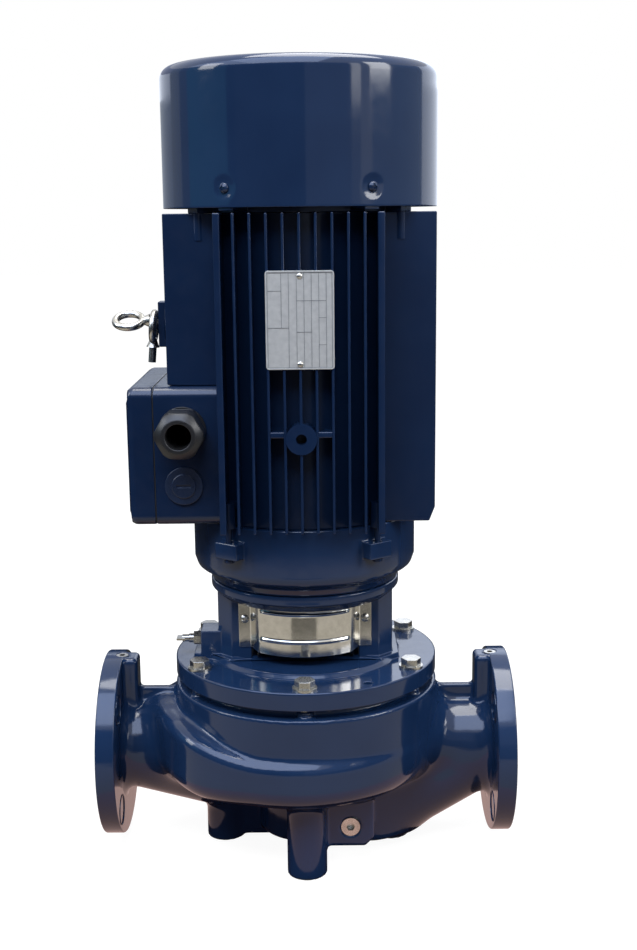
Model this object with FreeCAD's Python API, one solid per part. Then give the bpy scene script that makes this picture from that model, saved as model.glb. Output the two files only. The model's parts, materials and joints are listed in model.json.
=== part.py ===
import FreeCAD, Part
import math
import os

# A vertical in-line pump: flanged casing with both ports on one axis, a pump head with
# two columns, and a fan-cooled motor standing on it. Millimetres, +Z up, origin on the
# floor at the pump axis, ports along X, nameplate towards -Y.

os.makedirs("parts", exist_ok=True)
Vec = FreeCAD.Vector
UP = Vec(0, 0, 1)

# Ports
port_span = 440.0
port_bore = 80.0
port_height = 112.0
neck_wall = 6.0
flange_dia = 200.0
flange_thick = 20.0
flange_pcd = 160.0
flange_bolt_hole = 19.0
spotface_dia = 32.0
gauge_boss_dia = 34.0
gauge_plug_dia = 13.0
gauge_plug_offset = 18.0

# Casing
casing_top = 198.0
rim_margin = 14.0
rim_step = 10.0
rim_step_width = 7.0
drum_floor = 68.0
drum_floor_dia = 176.0
drum_corner_height = 46.0
register_dia = 224.0
head_bolt_margin = 16.0
head_bolt = 12.0
head_bolt_count = 6
chamber_wall = 18.0
chamber_low = 108.0
chamber_high = 170.0
volute_tube_dia = 88.0
volute_wall = 8.0
volute_drop = 2.0
volute_bulge_front = 7.0
volute_bulge_left = 23.0
volute_sink = 5.0
pan_low = 13.0
pan_width = 94.0
pan_wall = 8.0
pan_reach = 64.0
foot_circle_dia = 184.0
foot_dia = 42.0
foot_bolt = 12.0
foot_bolt_depth = 26.0
drain_block_width = 50.0
drain_block_front = 92.0
drain_block_low = 28.0
drain_block_root = 10.0
drain_offset = 46.0
drain_height = 50.0
drain_plug_dia = 20.0
suction_bend = Vec(112, 0, 58)
discharge_bend = Vec(-100, 0, 85)

# Pump head
disc_inset = 0.5
disc_thick = 19.0
spigot_depth = 30.0
hub_dia = 196.0
hub_rise = 4.0
lantern_height = 87.0
column_inner = 57.0
column_outer = 93.0
column_half_width = 46.0
column_bevel = 15.0
top_ring_dia = 202.0
top_ring_thick = 14.0
motor_spigot_dia = 110.0
motor_bolt_pcd = 127.0
motor_bolt = 8.0
motor_bolt_length = 28.0
vent_pos = Vec(-112, -24, 238)
vent_hex = 13.0

# Coupling guard
guard_radius = 78.0
guard_sheet = 1.2
guard_half_width = 48.0
guard_low = 233.0
guard_high = 298.0
guard_tab = 13.0
guard_screw_height = 266.0
bead_height = 1.8
bead_width = 4.0
guard_screw = 4.6
guard_screw_length = 11.0

# Impeller, seal and pump shaft
impeller_dia = 200.0
impeller_eye_dia = 90.0
impeller_low = 95.0
outlet_low = 126.0
outlet_width = 20.0
shroud_thick = 5.0
vane_count = 6
vane_thick = 4.0
impeller_bore = 24.0
impeller_seat = 112.0
impeller_washer_thick = 2.8
impeller_nut_height = 8.0
impeller_key_width = 8.0
impeller_key_low = 122.0
impeller_key_high = 148.0
hub_collar = 12.0
shaft_overrun = 1.0
wear_ring_wall = 7.0
wear_ring_length = 14.0
seal_shaft_dia = 32.0
seal_chamber_dia = 74.0
seal_wire = 2.6
seal_spring_turns = 3.5
stub_dia = 62.0
stub_low = 215.5
clamp_height = 22.0
running_gap = 0.4

# Motor
frame_bore = 210.0
barrel_wall = 7.0
frame_length = 309.0
fin_pitch = 15.46
fin_thick = 2.8
fin_count = 9
rib_thick = 6.5
fin_reach_front = 135.0
fin_reach_side = 133.5
fin_slant = 6.0
stator_bore = 136.0
stator_length = 150.0
rotor_gap = 0.5
winding_height = 38.0
shaft_end_dia = 38.0
shaft_end_length = 80.0
shaft_key_width = 10.0
shaft_key_height = 8.3
shaft_key_depth = 5.0
shaft_key_below = 69.0
shaft_key_above = 16.0
bearing_seat_dia = 40.0
bearing_dia = 80.0
bearing_width = 18.0
ball_dia = 11.6
ball_count = 9
race_land = 3.5
shaft_body_dia = 48.0
fan_seat_dia = 30.0
shield_dia = 236.0
shield_height = 73.0
shield_wall = 8.0
shield_neck = 13.0
lug_width = 28.0
lug_height = 17.0
lug_reach = 130.0
lug_rise = 41.0
lug_angle = 37.0
shield_bolt = 6.0
shield_bolt_pcd = 247.0
frame_boss_dia = 15.0
upper_shield_height = 44.0

# Fan and fan cover
cover_margin = 16.5
cover_height = 138.0
cover_wall = 2.0
cover_gap = 5.0
cover_edge_radius = 12.0
cover_screw_drop = 18.0
cover_screw_angle = 30.0
cover_screw = 4.9
cover_screw_length = 13.0
grille_ring_count = 6
grille_slot = 8.0
grille_bar = 6.0
grille_spokes = 8
fan_dia = 220.0
fan_blade_height = 42.0
fan_blade_count = 8

# Terminal box
box_rise = 2.0
box_height = 139.0
box_half_width = 96.0
box_inner_x = 80.0
box_split_x = 147.0
box_outer_x = 174.0
box_corner = 10.0
box_wall = 5.0
board_low_y = 24.0
gasket_thick = 1.0
gland_x = 118.0
gland_drop = 42.0
gland_pitch = 56.0
gland_bore = 25.0
gland_dia = 48.0
gland_reach = 44.0
plug_dia = 38.0

# Nameplate and front boss
plate_width = 65.0
plate_height = 93.0
plate_mid = 586.0
plate_thick = 1.0
front_boss_dia = 30.0
front_boss_hole = 10.5
front_boss_height = 472.0

# Lifting eyebolts
eye_outer = 36.0
eye_wire = 7.6
eye_shank_dia = 8.0
eye_shank_length = 26.0
eye_collar_dia = 14.0
eye_collar_length = 5.0
eye_height = 577.0
eye_gap = 10.0
lug_face_x = 149.0
eye_tilt = 25.0
spare_lean = 5.0

# Fits
fit = 0.03
seat = 0.1
ball_clear = 0.15

# Diameters that follow
head_bolt_pcd = register_dia + 2 * head_bolt_margin
rim_dia = head_bolt_pcd + 2 * rim_margin
disc_dia = rim_dia - 2 * disc_inset
chamber_dia = rim_dia - 2 * chamber_wall
neck_dia = port_bore + 2 * neck_wall
cover_dia = shield_bolt_pcd + 2 * cover_margin
barrel_dia = frame_bore + 2 * barrel_wall

# Heights that follow
volute_height = port_height - volute_drop
impeller_back = outlet_low + outlet_width
hub_top = impeller_back + hub_collar
washer_low = impeller_seat - seat - impeller_washer_thick
nut_low = washer_low - seat - impeller_nut_height
shaft_low = nut_low - shaft_overrun
disc_low = casing_top
disc_top = disc_low + disc_thick
motor_face = disc_top + lantern_height
frame_low = motor_face + shield_height
frame_high = frame_low + frame_length
cover_low = frame_high + cover_gap
cover_top = cover_low + cover_height
stator_mid = (frame_low + frame_high) / 2
lower_bearing = motor_face + 20.0
upper_bearing = frame_high + 16.0
box_low = frame_low + box_rise
box_top = box_low + box_height
gland_height = box_top - gland_drop
half_span = port_span / 2
plate_face_y = -fin_reach_front


def box(x0, y0, z0, x1, y1, z1):
    """Block between two opposite corners."""
    return Part.makeBox(x1 - x0, y1 - y0, z1 - z0, Vec(x0, y0, z0))


def rod(dia, base, direction, length):
    """Cylinder from a base point along a direction."""
    return Part.makeCylinder(dia / 2, length, base, direction)


def disc(dia, low, high):
    """Cylinder about the pump axis."""
    return Part.makeCylinder(dia / 2, high - low, Vec(0, 0, low), UP)


def ring(outer, inner, low, high):
    """Ring about the pump axis."""
    return disc(outer, low, high).cut(disc(inner, low - 1, high + 1))


def turned(points):
    """Solid of revolution about the pump axis from (radius, height) points."""
    wire = Part.makePolygon([Vec(r, 0, z) for r, z in points + points[:1]])
    return Part.Face(wire).revolve(Vec(0, 0, 0), UP, 360)


def prism(points, low, high):
    """Upright prism on a plan outline of (x, y) points."""
    wire = Part.makePolygon([Vec(x, y, low) for x, y in points + points[:1]])
    return Part.Face(wire).extrude(Vec(0, 0, high - low))


def fused(shapes):
    """One solid from several overlapping ones."""
    shapes = list(shapes)
    return shapes[0].multiFuse(shapes[1:]).removeSplitter()


def turned_by(shape, degrees, axis=UP, centre=Vec(0, 0, 0)):
    """Copy turned about an axis through a centre."""
    copy = shape.copy()
    copy.rotate(centre, axis, degrees)
    return copy


def around(shape, count, start=0.0):
    """Copies spaced evenly about the pump axis."""
    return [turned_by(shape, start + i * 360.0 / count) for i in range(count)]


def at_angles(shape, angles):
    """Copies turned to the given angles about the pump axis."""
    return [turned_by(shape, a) for a in angles]


def between(dia, start, end):
    """Cylinder from one point to another."""
    return rod(dia, start, end - start, (end - start).Length)


def hexagon(flats, base, direction, height):
    """Hexagonal prism across its flats, from a base point along a direction."""
    radius = flats / math.sqrt(3)
    corners = [Vec(radius * math.cos(math.radians(60 * i)), radius * math.sin(math.radians(60 * i)), 0)
               for i in range(6)]
    body = Part.Face(Part.makePolygon(corners + corners[:1])).extrude(Vec(0, 0, height))
    body.Placement = FreeCAD.Placement(base, FreeCAD.Rotation(UP, direction))
    return body


def hex_bolt(base, direction, dia, shank, gap=0.0):
    """Hexagon head bolt: head from the base along direction, shank the other way."""
    height = 0.64 * dia
    head = hexagon(1.55 * dia, base, direction, height)
    bevel = rod(1.72 * dia, base, direction, height)
    back = base - direction * shank
    return head.common(bevel).fuse(rod(dia - 2 * gap, back, direction, shank + 0.01)).removeSplitter()


def round_screw(base, direction, dia, shank):
    """Cross-recessed round head screw: low domed head, shank the other way."""
    head_r = dia
    height = 0.62 * dia
    ball_r = (head_r ** 2 + height ** 2) / (2 * height)
    ball = Part.makeSphere(ball_r, base + direction * (height - ball_r))
    head = ball.common(rod(2 * head_r, base, direction, height + 1))
    slot = []
    for turn in (0, 90):
        bar = box(-0.55 * dia, -0.12 * dia, height * 0.5, 0.55 * dia, 0.12 * dia, height * 2)
        bar.rotate(Vec(0, 0, 0), UP, turn)
        bar.Placement = FreeCAD.Placement(base, FreeCAD.Rotation(UP, direction)).multiply(bar.Placement)
        slot.append(bar)
    head = head.cut(slot[0]).cut(slot[1])
    return head.fuse(rod(dia, base - direction * shank, direction, shank + 0.01)).removeSplitter()


def socket_plug(base, direction, dia, length, socket):
    """Threaded plug with a hexagon socket in its outer face, which lies at base."""
    body = rod(dia, base - direction * length, direction, length)
    return body.cut(hexagon(socket, base - direction * (length * 0.5), direction, length))


def save(name, shape):
    """Write one node."""
    shapes = shape if isinstance(shape, list) else [shape]
    solid = shapes[0] if len(shapes) == 1 else Part.makeCompound(shapes)
    solid.exportStep("parts/" + name + ".step")


def casing_outside():
    """Union of drum, volute, suction pan, necks, flanges, feet and bosses."""
    rim_r = rim_dia / 2
    land_r = rim_r - rim_step_width
    floor_r = drum_floor_dia / 2
    corner = drum_floor + drum_corner_height
    bend = 0.5 * math.sqrt(2)
    mid_r = floor_r + (rim_r - floor_r) * bend
    mid_z = corner - drum_corner_height * bend
    lower = Part.Arc(Vec(floor_r, 0, drum_floor), Vec(mid_r, 0, mid_z), Vec(rim_r, 0, corner)).toShape()
    step = casing_top - rim_step
    path = [Vec(rim_r, 0, corner), Vec(rim_r, 0, step), Vec(land_r, 0, step), Vec(land_r, 0, casing_top),
            Vec(0, 0, casing_top), Vec(0, 0, drum_floor), Vec(floor_r, 0, drum_floor)]
    edges = [lower] + [Part.makeLine(a, b) for a, b in zip(path, path[1:])]
    drum = Part.Face(Part.Wire(edges)).revolve(Vec(0, 0, 0), UP, 360)
    parts = [drum, volute(volute_tube_dia)]
    parts += suction_pan(pan_width / 2 + pan_wall, pan_low, drum_floor + 20)
    inset = flange_thick / 2
    neck_length = half_span - inset - rim_dia * 0.4
    neck = rod(neck_dia, Vec(-half_span + inset, 0, port_height), Vec(1, 0, 0), neck_length)
    parts += [neck, turned_by(neck, 180)]
    suction = between(neck_dia, suction_start(), suction_bend)
    suction = suction.cut(box(-half_span, -half_span, -half_span, half_span, half_span, pan_low))
    suction = suction.cut(box(half_span - inset, -half_span, -half_span, 2 * half_span, half_span, half_span))
    parts += [suction, between(neck_dia, discharge_start(), discharge_bend)]
    for side in (-1, 1):
        parts += port_end(side)
    foot = disc(foot_dia, 0, drum_floor + 26)
    foot.translate(Vec(0, -foot_circle_dia / 2, 0))
    parts += around(foot, 4)
    parts.append(box(drain_block_root, -drain_block_front, drain_block_low,
                     drain_offset + drain_block_width / 2, -30, drum_floor + 26))
    return fused(parts)


def suction_pan(radius, low, high):
    """Flat chamber with round ends under the drum, from the suction bend to the eye."""
    near = disc(2 * radius, low, high)
    far = near.copy()
    far.translate(Vec(pan_reach, 0, 0))
    return [near, far, box(0, -radius, low, pan_reach, radius, high)]


def suction_start():
    """Point on the port axis where the suction passage turns down."""
    return Vec(half_span - flange_thick, 0, port_height)


def discharge_start():
    """Point on the port axis where the discharge passage ends."""
    return Vec(-half_span + flange_thick, 0, port_height)


def port_end(side):
    """Flange, gauge boss and web of one port; side is -1 left or 1 right."""
    outer = side * half_span
    flange = rod(flange_dia, Vec(outer, 0, port_height), Vec(-side, 0, 0), flange_thick)
    boss_x = side * (half_span - gauge_plug_offset)
    top = port_height + flange_dia / 2 - 2
    boss = rod(gauge_boss_dia, Vec(boss_x, 0, port_height), UP, top - port_height)
    web_low = port_height + 30
    web = box(min(boss_x, side * rim_dia * 0.42), -4, web_low, max(boss_x, side * rim_dia * 0.42), 4,
              port_height + 63)
    return [flange, boss, web]


def volute_bulge(angle):
    """How far the scroll stands out of the drum at an angle from the front towards the left: growing
    from inside the front right to the left port, then shrinking into the drum behind it."""
    if angle <= 90:
        return volute_bulge_front + (volute_bulge_left - volute_bulge_front) * angle / 90
    back = (angle - 90) / 80
    ease = back * back * (3 - 2 * back)
    return volute_bulge_left - (volute_bulge_left + volute_sink) * ease


def volute(tube_dia):
    """Round tube lofted along the scroll, whose outer edge follows the bulge."""
    sections = []
    for angle in (-56, -36, -12, 12, 38, 64, 90, 116, 142, 168):
        turn = math.radians(angle)
        radius = rim_dia / 2 + volute_bulge(angle) - volute_tube_dia / 2
        centre = Vec(-radius * math.sin(turn), -radius * math.cos(turn), volute_height)
        along = Vec(-math.cos(turn), math.sin(turn), 0)
        sections.append(Part.Wire([Part.Circle(centre, along, tube_dia / 2).toShape()]))
    return Part.makeLoft(sections, True, False)


def flange_holes(side):
    """Four bolt holes and their spot faces in one port flange."""
    cuts = []
    inward = Vec(-side, 0, 0)
    for angle in (45, 135, 225, 315):
        y = flange_pcd / 2 * math.cos(math.radians(angle))
        z = port_height + flange_pcd / 2 * math.sin(math.radians(angle))
        face = Vec(side * (half_span + 1), y, z)
        cuts.append(rod(flange_bolt_hole, face, inward, flange_thick + 2))
        cuts.append(rod(spotface_dia, Vec(side * (half_span - flange_thick + 1), y, z), inward, 8))
    return cuts


def pump_casing():
    """Casting with its water passages, registers and tapped holes."""
    body = casing_outside()
    cuts = [disc(register_dia, chamber_high - 1, casing_top + 1), disc(chamber_dia, chamber_low, chamber_high)]
    cuts.append(volute(volute_tube_dia - 2 * volute_wall))
    eye = impeller_eye_dia + 2 * wear_ring_wall
    cuts.append(disc(eye, drum_floor, chamber_low + 1))
    cuts += suction_pan(pan_width / 2, pan_low + pan_wall, drum_floor + 1)
    elbow = suction_start() - Vec(7, 0, 0)
    passage = between(port_bore - 8, elbow, suction_bend)
    cuts.append(passage.cut(box(-half_span, -half_span, -half_span, half_span, half_span, pan_low + pan_wall)))
    cuts.append(Part.makeSphere(port_bore / 2 - 4, elbow))
    cuts.append(between(port_bore - 4, discharge_start(), discharge_bend))
    cuts.append(Part.makeSphere(port_bore / 2 - 2, discharge_start()))
    for side in (-1, 1):
        cuts.append(rod(port_bore, Vec(side * (half_span + 1), 0, port_height), Vec(-side, 0, 0), flange_thick + 1))
    for side in (-1, 1):
        cuts += flange_holes(side)
        plug_x = side * (half_span - gauge_plug_offset)
        cuts.append(rod(gauge_plug_dia, Vec(plug_x, 0, port_height), UP, flange_dia))
    bolt = disc(head_bolt, casing_top - 24, casing_top + 1)
    bolt.translate(Vec(0, -head_bolt_pcd / 2, 0))
    cuts += around(bolt, head_bolt_count)
    stud = disc(foot_bolt, -1, foot_bolt_depth)
    stud.translate(Vec(0, -foot_circle_dia / 2, 0))
    cuts += around(stud, 4)
    cuts.append(rod(drain_plug_dia, Vec(drain_offset, -drain_block_front - 1, drain_height), Vec(0, 1, 0), 15))
    return body.cut(cuts).removeSplitter()


def head_columns():
    """Two bevelled columns with a widened base, left and right of the shaft."""
    inner = column_inner
    outer = column_outer
    half = column_half_width
    bevel = column_bevel
    plan = [(inner, -half), (outer - bevel, -half), (outer, -half + bevel), (outer, half - bevel),
            (outer - bevel, half), (inner, half)]
    foot = [(inner - 6, -half + 4), (outer - bevel + 2, -half - 6), (outer + 7, -half + bevel - 3),
            (outer + 7, half - bevel + 3), (outer - bevel + 2, half + 6), (inner - 6, half - 4)]
    column = prism(plan, disc_top - 1, motor_face - 4)
    base = prism(foot, disc_top - 1, disc_top + hub_rise + 2)
    right = column.fuse(base)
    return [right, turned_by(right, 180)]


def pump_head():
    """Casting with the sealing disc, spigot, columns and the motor seat."""
    hub_r = hub_dia / 2
    disc_r = disc_dia / 2
    spigot_r = register_dia / 2 - seat
    body = turned([(0, disc_low - spigot_depth), (spigot_r, disc_low - spigot_depth), (spigot_r, disc_low),
                   (disc_r, disc_low), (disc_r, disc_top - 1), (disc_r - 1, disc_top), (hub_r + 4, disc_top),
                   (hub_r, disc_top + hub_rise), (0, disc_top + hub_rise)])
    top_r = top_ring_dia / 2
    low = motor_face - top_ring_thick
    spigot_hole = motor_spigot_dia / 2 + seat
    seat_ring = turned([(spigot_hole, low), (top_r - 12, low - 5), (top_r, low + 5), (top_r, motor_face - 1),
                        (top_r - 1, motor_face), (spigot_hole, motor_face)])
    pocket = ring(2 * (guard_radius + 8), 2 * (guard_radius - 6), low - 10, guard_high + 1)
    half = column_half_width - fit
    between_columns = box(-disc_r, -half, low - 11, disc_r, half, motor_face)
    seat_ring = seat_ring.cut(pocket.cut(between_columns))
    vent_boss = prism([(-column_outer + 3, -2), (-column_outer + 3, -34), (vent_pos.x, -34), (vent_pos.x, -2)],
                      disc_top - 1, vent_pos.z + 10)
    foot_x = vent_pos.x - 8
    vent_foot = prism([(-column_outer + 3, 2), (-column_outer + 3, -38), (foot_x, -28), (foot_x, 2)],
                      disc_top - 1, disc_top + 5)
    body = fused([body, seat_ring, vent_boss, vent_foot] + head_columns())
    shaft_hole = seal_shaft_dia + 8
    cuts = [disc(seal_chamber_dia, disc_low - spigot_depth - 1, disc_top - 10)]
    cuts.append(disc(shaft_hole, disc_low, disc_top + 10))
    cuts.append(disc(stub_dia + 6, stub_low - 2, disc_top + 10))
    groove_r = register_dia / 2 - 5.2
    cuts.append(ring(register_dia + 4, groove_r * 2, disc_low - 16, disc_low - 9.6))
    bolt = disc(head_bolt + 1.4, disc_low - 1, disc_top + 1)
    bolt.translate(Vec(0, -head_bolt_pcd / 2, 0))
    cuts += around(bolt, head_bolt_count)
    jack = disc(8.5, disc_low - 1, disc_top + 1)
    jack.translate(Vec(0, -head_bolt_pcd / 2, 0))
    cuts += around(jack, 2, 30)
    for screw in motor_bolt_places():
        cuts.append(rod(motor_bolt + 1, Vec(screw.x, screw.y, low - 6), UP, 30))
    cuts += [rod(6, Vec(x, y, guard_screw_height), Vec(0, -y, 0), 14) for x, y in guard_screw_places()]
    cuts.append(rod(vent_hex - 3, vent_pos + Vec(-1, 0, 0), Vec(1, 0, 0), 19))
    return body.cut(cuts).removeSplitter()


def motor_bolt_places():
    """Plan positions of the four bolts under the motor seat, inside the guard."""
    r = motor_bolt_pcd / 2
    return [Vec(r * math.sin(math.radians(a)), -r * math.cos(math.radians(a)), 0) for a in (-30, 30, 150, 210)]


def guard_screw_places():
    """Plan positions of the four guard screws on the column faces."""
    x = column_inner + guard_tab / 2
    y = column_half_width
    return [(-x, -y - 0.001), (x, -y - 0.001), (-x, y + 0.001), (x, y + 0.001)]


def coupling_guard():
    """Front guard sheet: curved panel with two beads, folds and two screw tabs."""
    sheet = guard_sheet
    half = guard_half_width
    depth = math.sqrt(guard_radius ** 2 - half ** 2)
    face_y = -column_half_width - 0.05
    low, high = guard_low, guard_high
    panel = ring(2 * guard_radius, 2 * (guard_radius - sheet), low, high)
    for z in (high - 12, low + 18):
        panel = panel.fuse(ring(2 * (guard_radius + bead_height), 2 * (guard_radius - 0.5), z - bead_width / 2,
                                z + bead_width / 2))
    panel = panel.common(box(-half, -guard_radius - 5, low, half, -depth + sheet, high))
    pieces = [panel]
    for side in (-1, 1):
        fold = [(side * half, -depth), (side * (half - sheet), -depth + sheet),
                (side * (column_inner - sheet), face_y), (side * column_inner, face_y - sheet)]
        pieces.append(prism(fold, low, high))
        edges = sorted((side * (column_inner - sheet), side * (column_inner + guard_tab)))
        pieces.append(box(edges[0], face_y - sheet, low + 2, edges[1], face_y, high - 2))
    guard = fused(pieces)
    return guard.cut([rod(5.4, Vec(x, -column_half_width + 5, guard_screw_height), Vec(0, -1, 0), 20)
                      for x, y in guard_screw_places()[:2]])


def guard_screws():
    """Four small round head screws that hold both guards."""
    screws = []
    for x, y in guard_screw_places():
        out = Vec(0, math.copysign(1, y), 0)
        base = Vec(x, 0, guard_screw_height) + out * (column_half_width + 0.1 + guard_sheet)
        screws.append(round_screw(base, out, guard_screw, guard_screw_length))
    return screws


def head_fasteners():
    """Bolts of the pump head and the washers under their heads."""
    washer = ring(25.0, head_bolt + 1, disc_top, disc_top + 2.5)
    washer.translate(Vec(0, -head_bolt_pcd / 2, 0))
    bolt = hex_bolt(Vec(0, -head_bolt_pcd / 2, disc_top + 2.5), UP, head_bolt, disc_thick + 20, fit)
    return around(bolt, head_bolt_count), around(washer, head_bolt_count)


def impeller():
    """Closed impeller: back shroud and hub, front shroud with eye, curved vanes."""
    r = impeller_dia / 2
    eye = impeller_eye_dia / 2
    back = impeller_back
    hub_r = impeller_bore / 2 + 9
    bore_r = impeller_bore / 2
    rear = turned([(bore_r, impeller_seat), (hub_r, impeller_seat), (hub_r + 8, back - 4), (r, back),
                   (r, back + shroud_thick), (hub_r + 5, back + shroud_thick), (hub_r + 5, hub_top),
                   (bore_r, hub_top)])
    front = turned([(eye - 5, impeller_low), (eye, impeller_low), (eye, impeller_low + 14),
                    (eye + 10, outlet_low - 6), (r, outlet_low - shroud_thick), (r, outlet_low),
                    (eye + 6, outlet_low), (eye - 5, outlet_low - 12)])
    inner, outer = eye - 6, r - 0.5
    steps = 10
    side_a, side_b = [], []
    for i in range(steps + 1):
        s = i / steps
        radius = inner + (outer - inner) * s
        bend = math.radians(85) * s
        half = vane_thick / 2 / radius
        side_a.append((radius * math.cos(bend + half), radius * math.sin(bend + half)))
        side_b.append((radius * math.cos(bend - half), radius * math.sin(bend - half)))
    blade = prism(side_a + side_b[::-1], outlet_low - 4, back + 2)
    body = fused([rear, front] + around(blade, vane_count))
    key_half = impeller_key_width / 2 + fit
    return body.cut(box(-key_half, 0, shaft_low, key_half, impeller_bore / 2 + 3.3, hub_top + 1))


def pump_shaft():
    """Stub shaft: bored sleeve over the motor shaft end, seal length and impeller seat."""
    top = motor_face - 12
    end_r = thread_dia() / 2
    seat_r = impeller_bore / 2 - fit
    seal_r = seal_shaft_dia / 2
    shoulder = hub_top + fit
    body = turned([(0, shaft_low), (end_r, shaft_low), (end_r, impeller_seat + 2), (seat_r, impeller_seat + 2),
                   (seat_r, shoulder), (seal_r, shoulder), (seal_r, stub_low), (stub_dia / 2, stub_low),
                   (stub_dia / 2, top), (0, top)])
    bore_low = motor_face - shaft_end_length - 1
    cuts = [disc(shaft_end_dia + 2 * fit, bore_low, top + 1)]
    key_top = shaft_end_dia / 2 + 3.4
    cuts.append(box(-5.03, 0, motor_face - 70, 5.03, key_top, top + 1))
    key_half = impeller_key_width / 2 + fit
    cuts.append(box(-key_half, impeller_key_depth(), impeller_key_low - 2, key_half, impeller_bore / 2 + 1,
                    impeller_key_high + 2))
    cuts.append(box(-1, -stub_dia, top - 40, 1, 0, top + 1))
    return body.cut(cuts).removeSplitter()


def thread_dia():
    """Diameter of the shaft end that carries the impeller nut."""
    return impeller_bore - 4


def impeller_key_depth():
    """Distance of the impeller key slot's floor from the axis."""
    return impeller_bore / 2 - 4


def bearing(height):
    """Deep groove ball bearing about the pump axis: outer ring, inner ring, balls."""
    pitch_r = (bearing_seat_dia + bearing_dia) / 4
    low, high = height - bearing_width / 2, height + bearing_width / 2
    groove = Part.makeTorus(pitch_r, ball_dia / 2 + ball_clear, Vec(0, 0, height), UP)
    outer = ring(bearing_dia, 2 * (pitch_r + race_land), low, high).cut(groove)
    inner = ring(2 * (pitch_r - race_land), bearing_seat_dia + 2 * fit, low, high).cut(groove)
    ball = Part.makeSphere(ball_dia / 2, Vec(pitch_r, 0, height))
    cage_half = ball_dia / 2 + 1.4
    cage = ring(2 * pitch_r + 4, 2 * pitch_r - 4, height - cage_half, height + cage_half)
    pocket = rod(ball_dia + ball_clear, Vec(pitch_r - 6, 0, height), Vec(1, 0, 0), 12)
    cage = cage.cut(around(pocket, ball_count))
    return outer, inner, around(ball, ball_count) + [cage]


def lower_end_shield():
    """Bell that carries the lower bearing and stands on the pump head."""
    r = shield_dia / 2
    top_r = top_ring_dia / 2
    neck = motor_face + shield_neck
    outside = turned([(0, motor_face), (top_r - 2, motor_face), (top_r, motor_face + 3), (top_r + 2, neck - 4),
                      (r - 3, neck + 3), (r, neck + 12), (r, frame_low), (0, frame_low)])
    spigot = disc(motor_spigot_dia, motor_face - 3.5, motor_face + 1)
    register = disc(frame_bore - 2 * fit, frame_low - 1, frame_low + 5)
    lug_z = motor_face + lug_rise
    lugs = []
    for angle in four_angles(lug_angle):
        lug = box(-lug_width / 2, -lug_reach, lug_z, lug_width / 2, -r + 16, lug_z + lug_height)
        lugs.append(turned_by(lug, angle))
    body = fused([outside, spigot, register] + lugs)
    inner = frame_bore / 2 - shield_wall
    house = bearing_dia / 2
    roof = lower_bearing + bearing_width / 2
    cavity = turned([(house + 8, motor_face + 16), (top_r - 12, motor_face + 16), (inner, neck + 16),
                     (inner, frame_low + 6), (0, frame_low + 6), (0, roof + 6), (house + 8, roof + 6)])
    cuts = [cavity, disc(bearing_dia + 2 * fit, lower_bearing - bearing_width / 2, roof + 7)]
    cuts.append(disc(seal_outer(), motor_face + 2, motor_face + 9))
    cuts.append(disc(bearing_seat_dia + 6, motor_face - 5, motor_face + 40))
    for place in motor_bolt_places():
        cuts.append(rod(motor_bolt, Vec(place.x, place.y, motor_face - 4), UP, 19))
    for bolt in shield_bolt_places(lug_angle):
        cuts.append(rod(shield_bolt + 0.6, Vec(bolt.x, bolt.y, neck), UP, 80))
    return body.cut(cuts).removeSplitter()


def four_angles(angle):
    """Four angles from the front, mirrored left to right and front to back."""
    return (-angle, angle, 180 - angle, 180 + angle)


def seal_outer():
    """Outer diameter of the lower shaft seal."""
    return bearing_seat_dia + 22


def shield_bolt_places(angle):
    """Plan positions of the four bolts that join an end shield to the frame."""
    r = shield_bolt_pcd / 2
    return [Vec(r * math.sin(math.radians(a)), -r * math.cos(math.radians(a)), 0) for a in four_angles(angle)]


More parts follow.
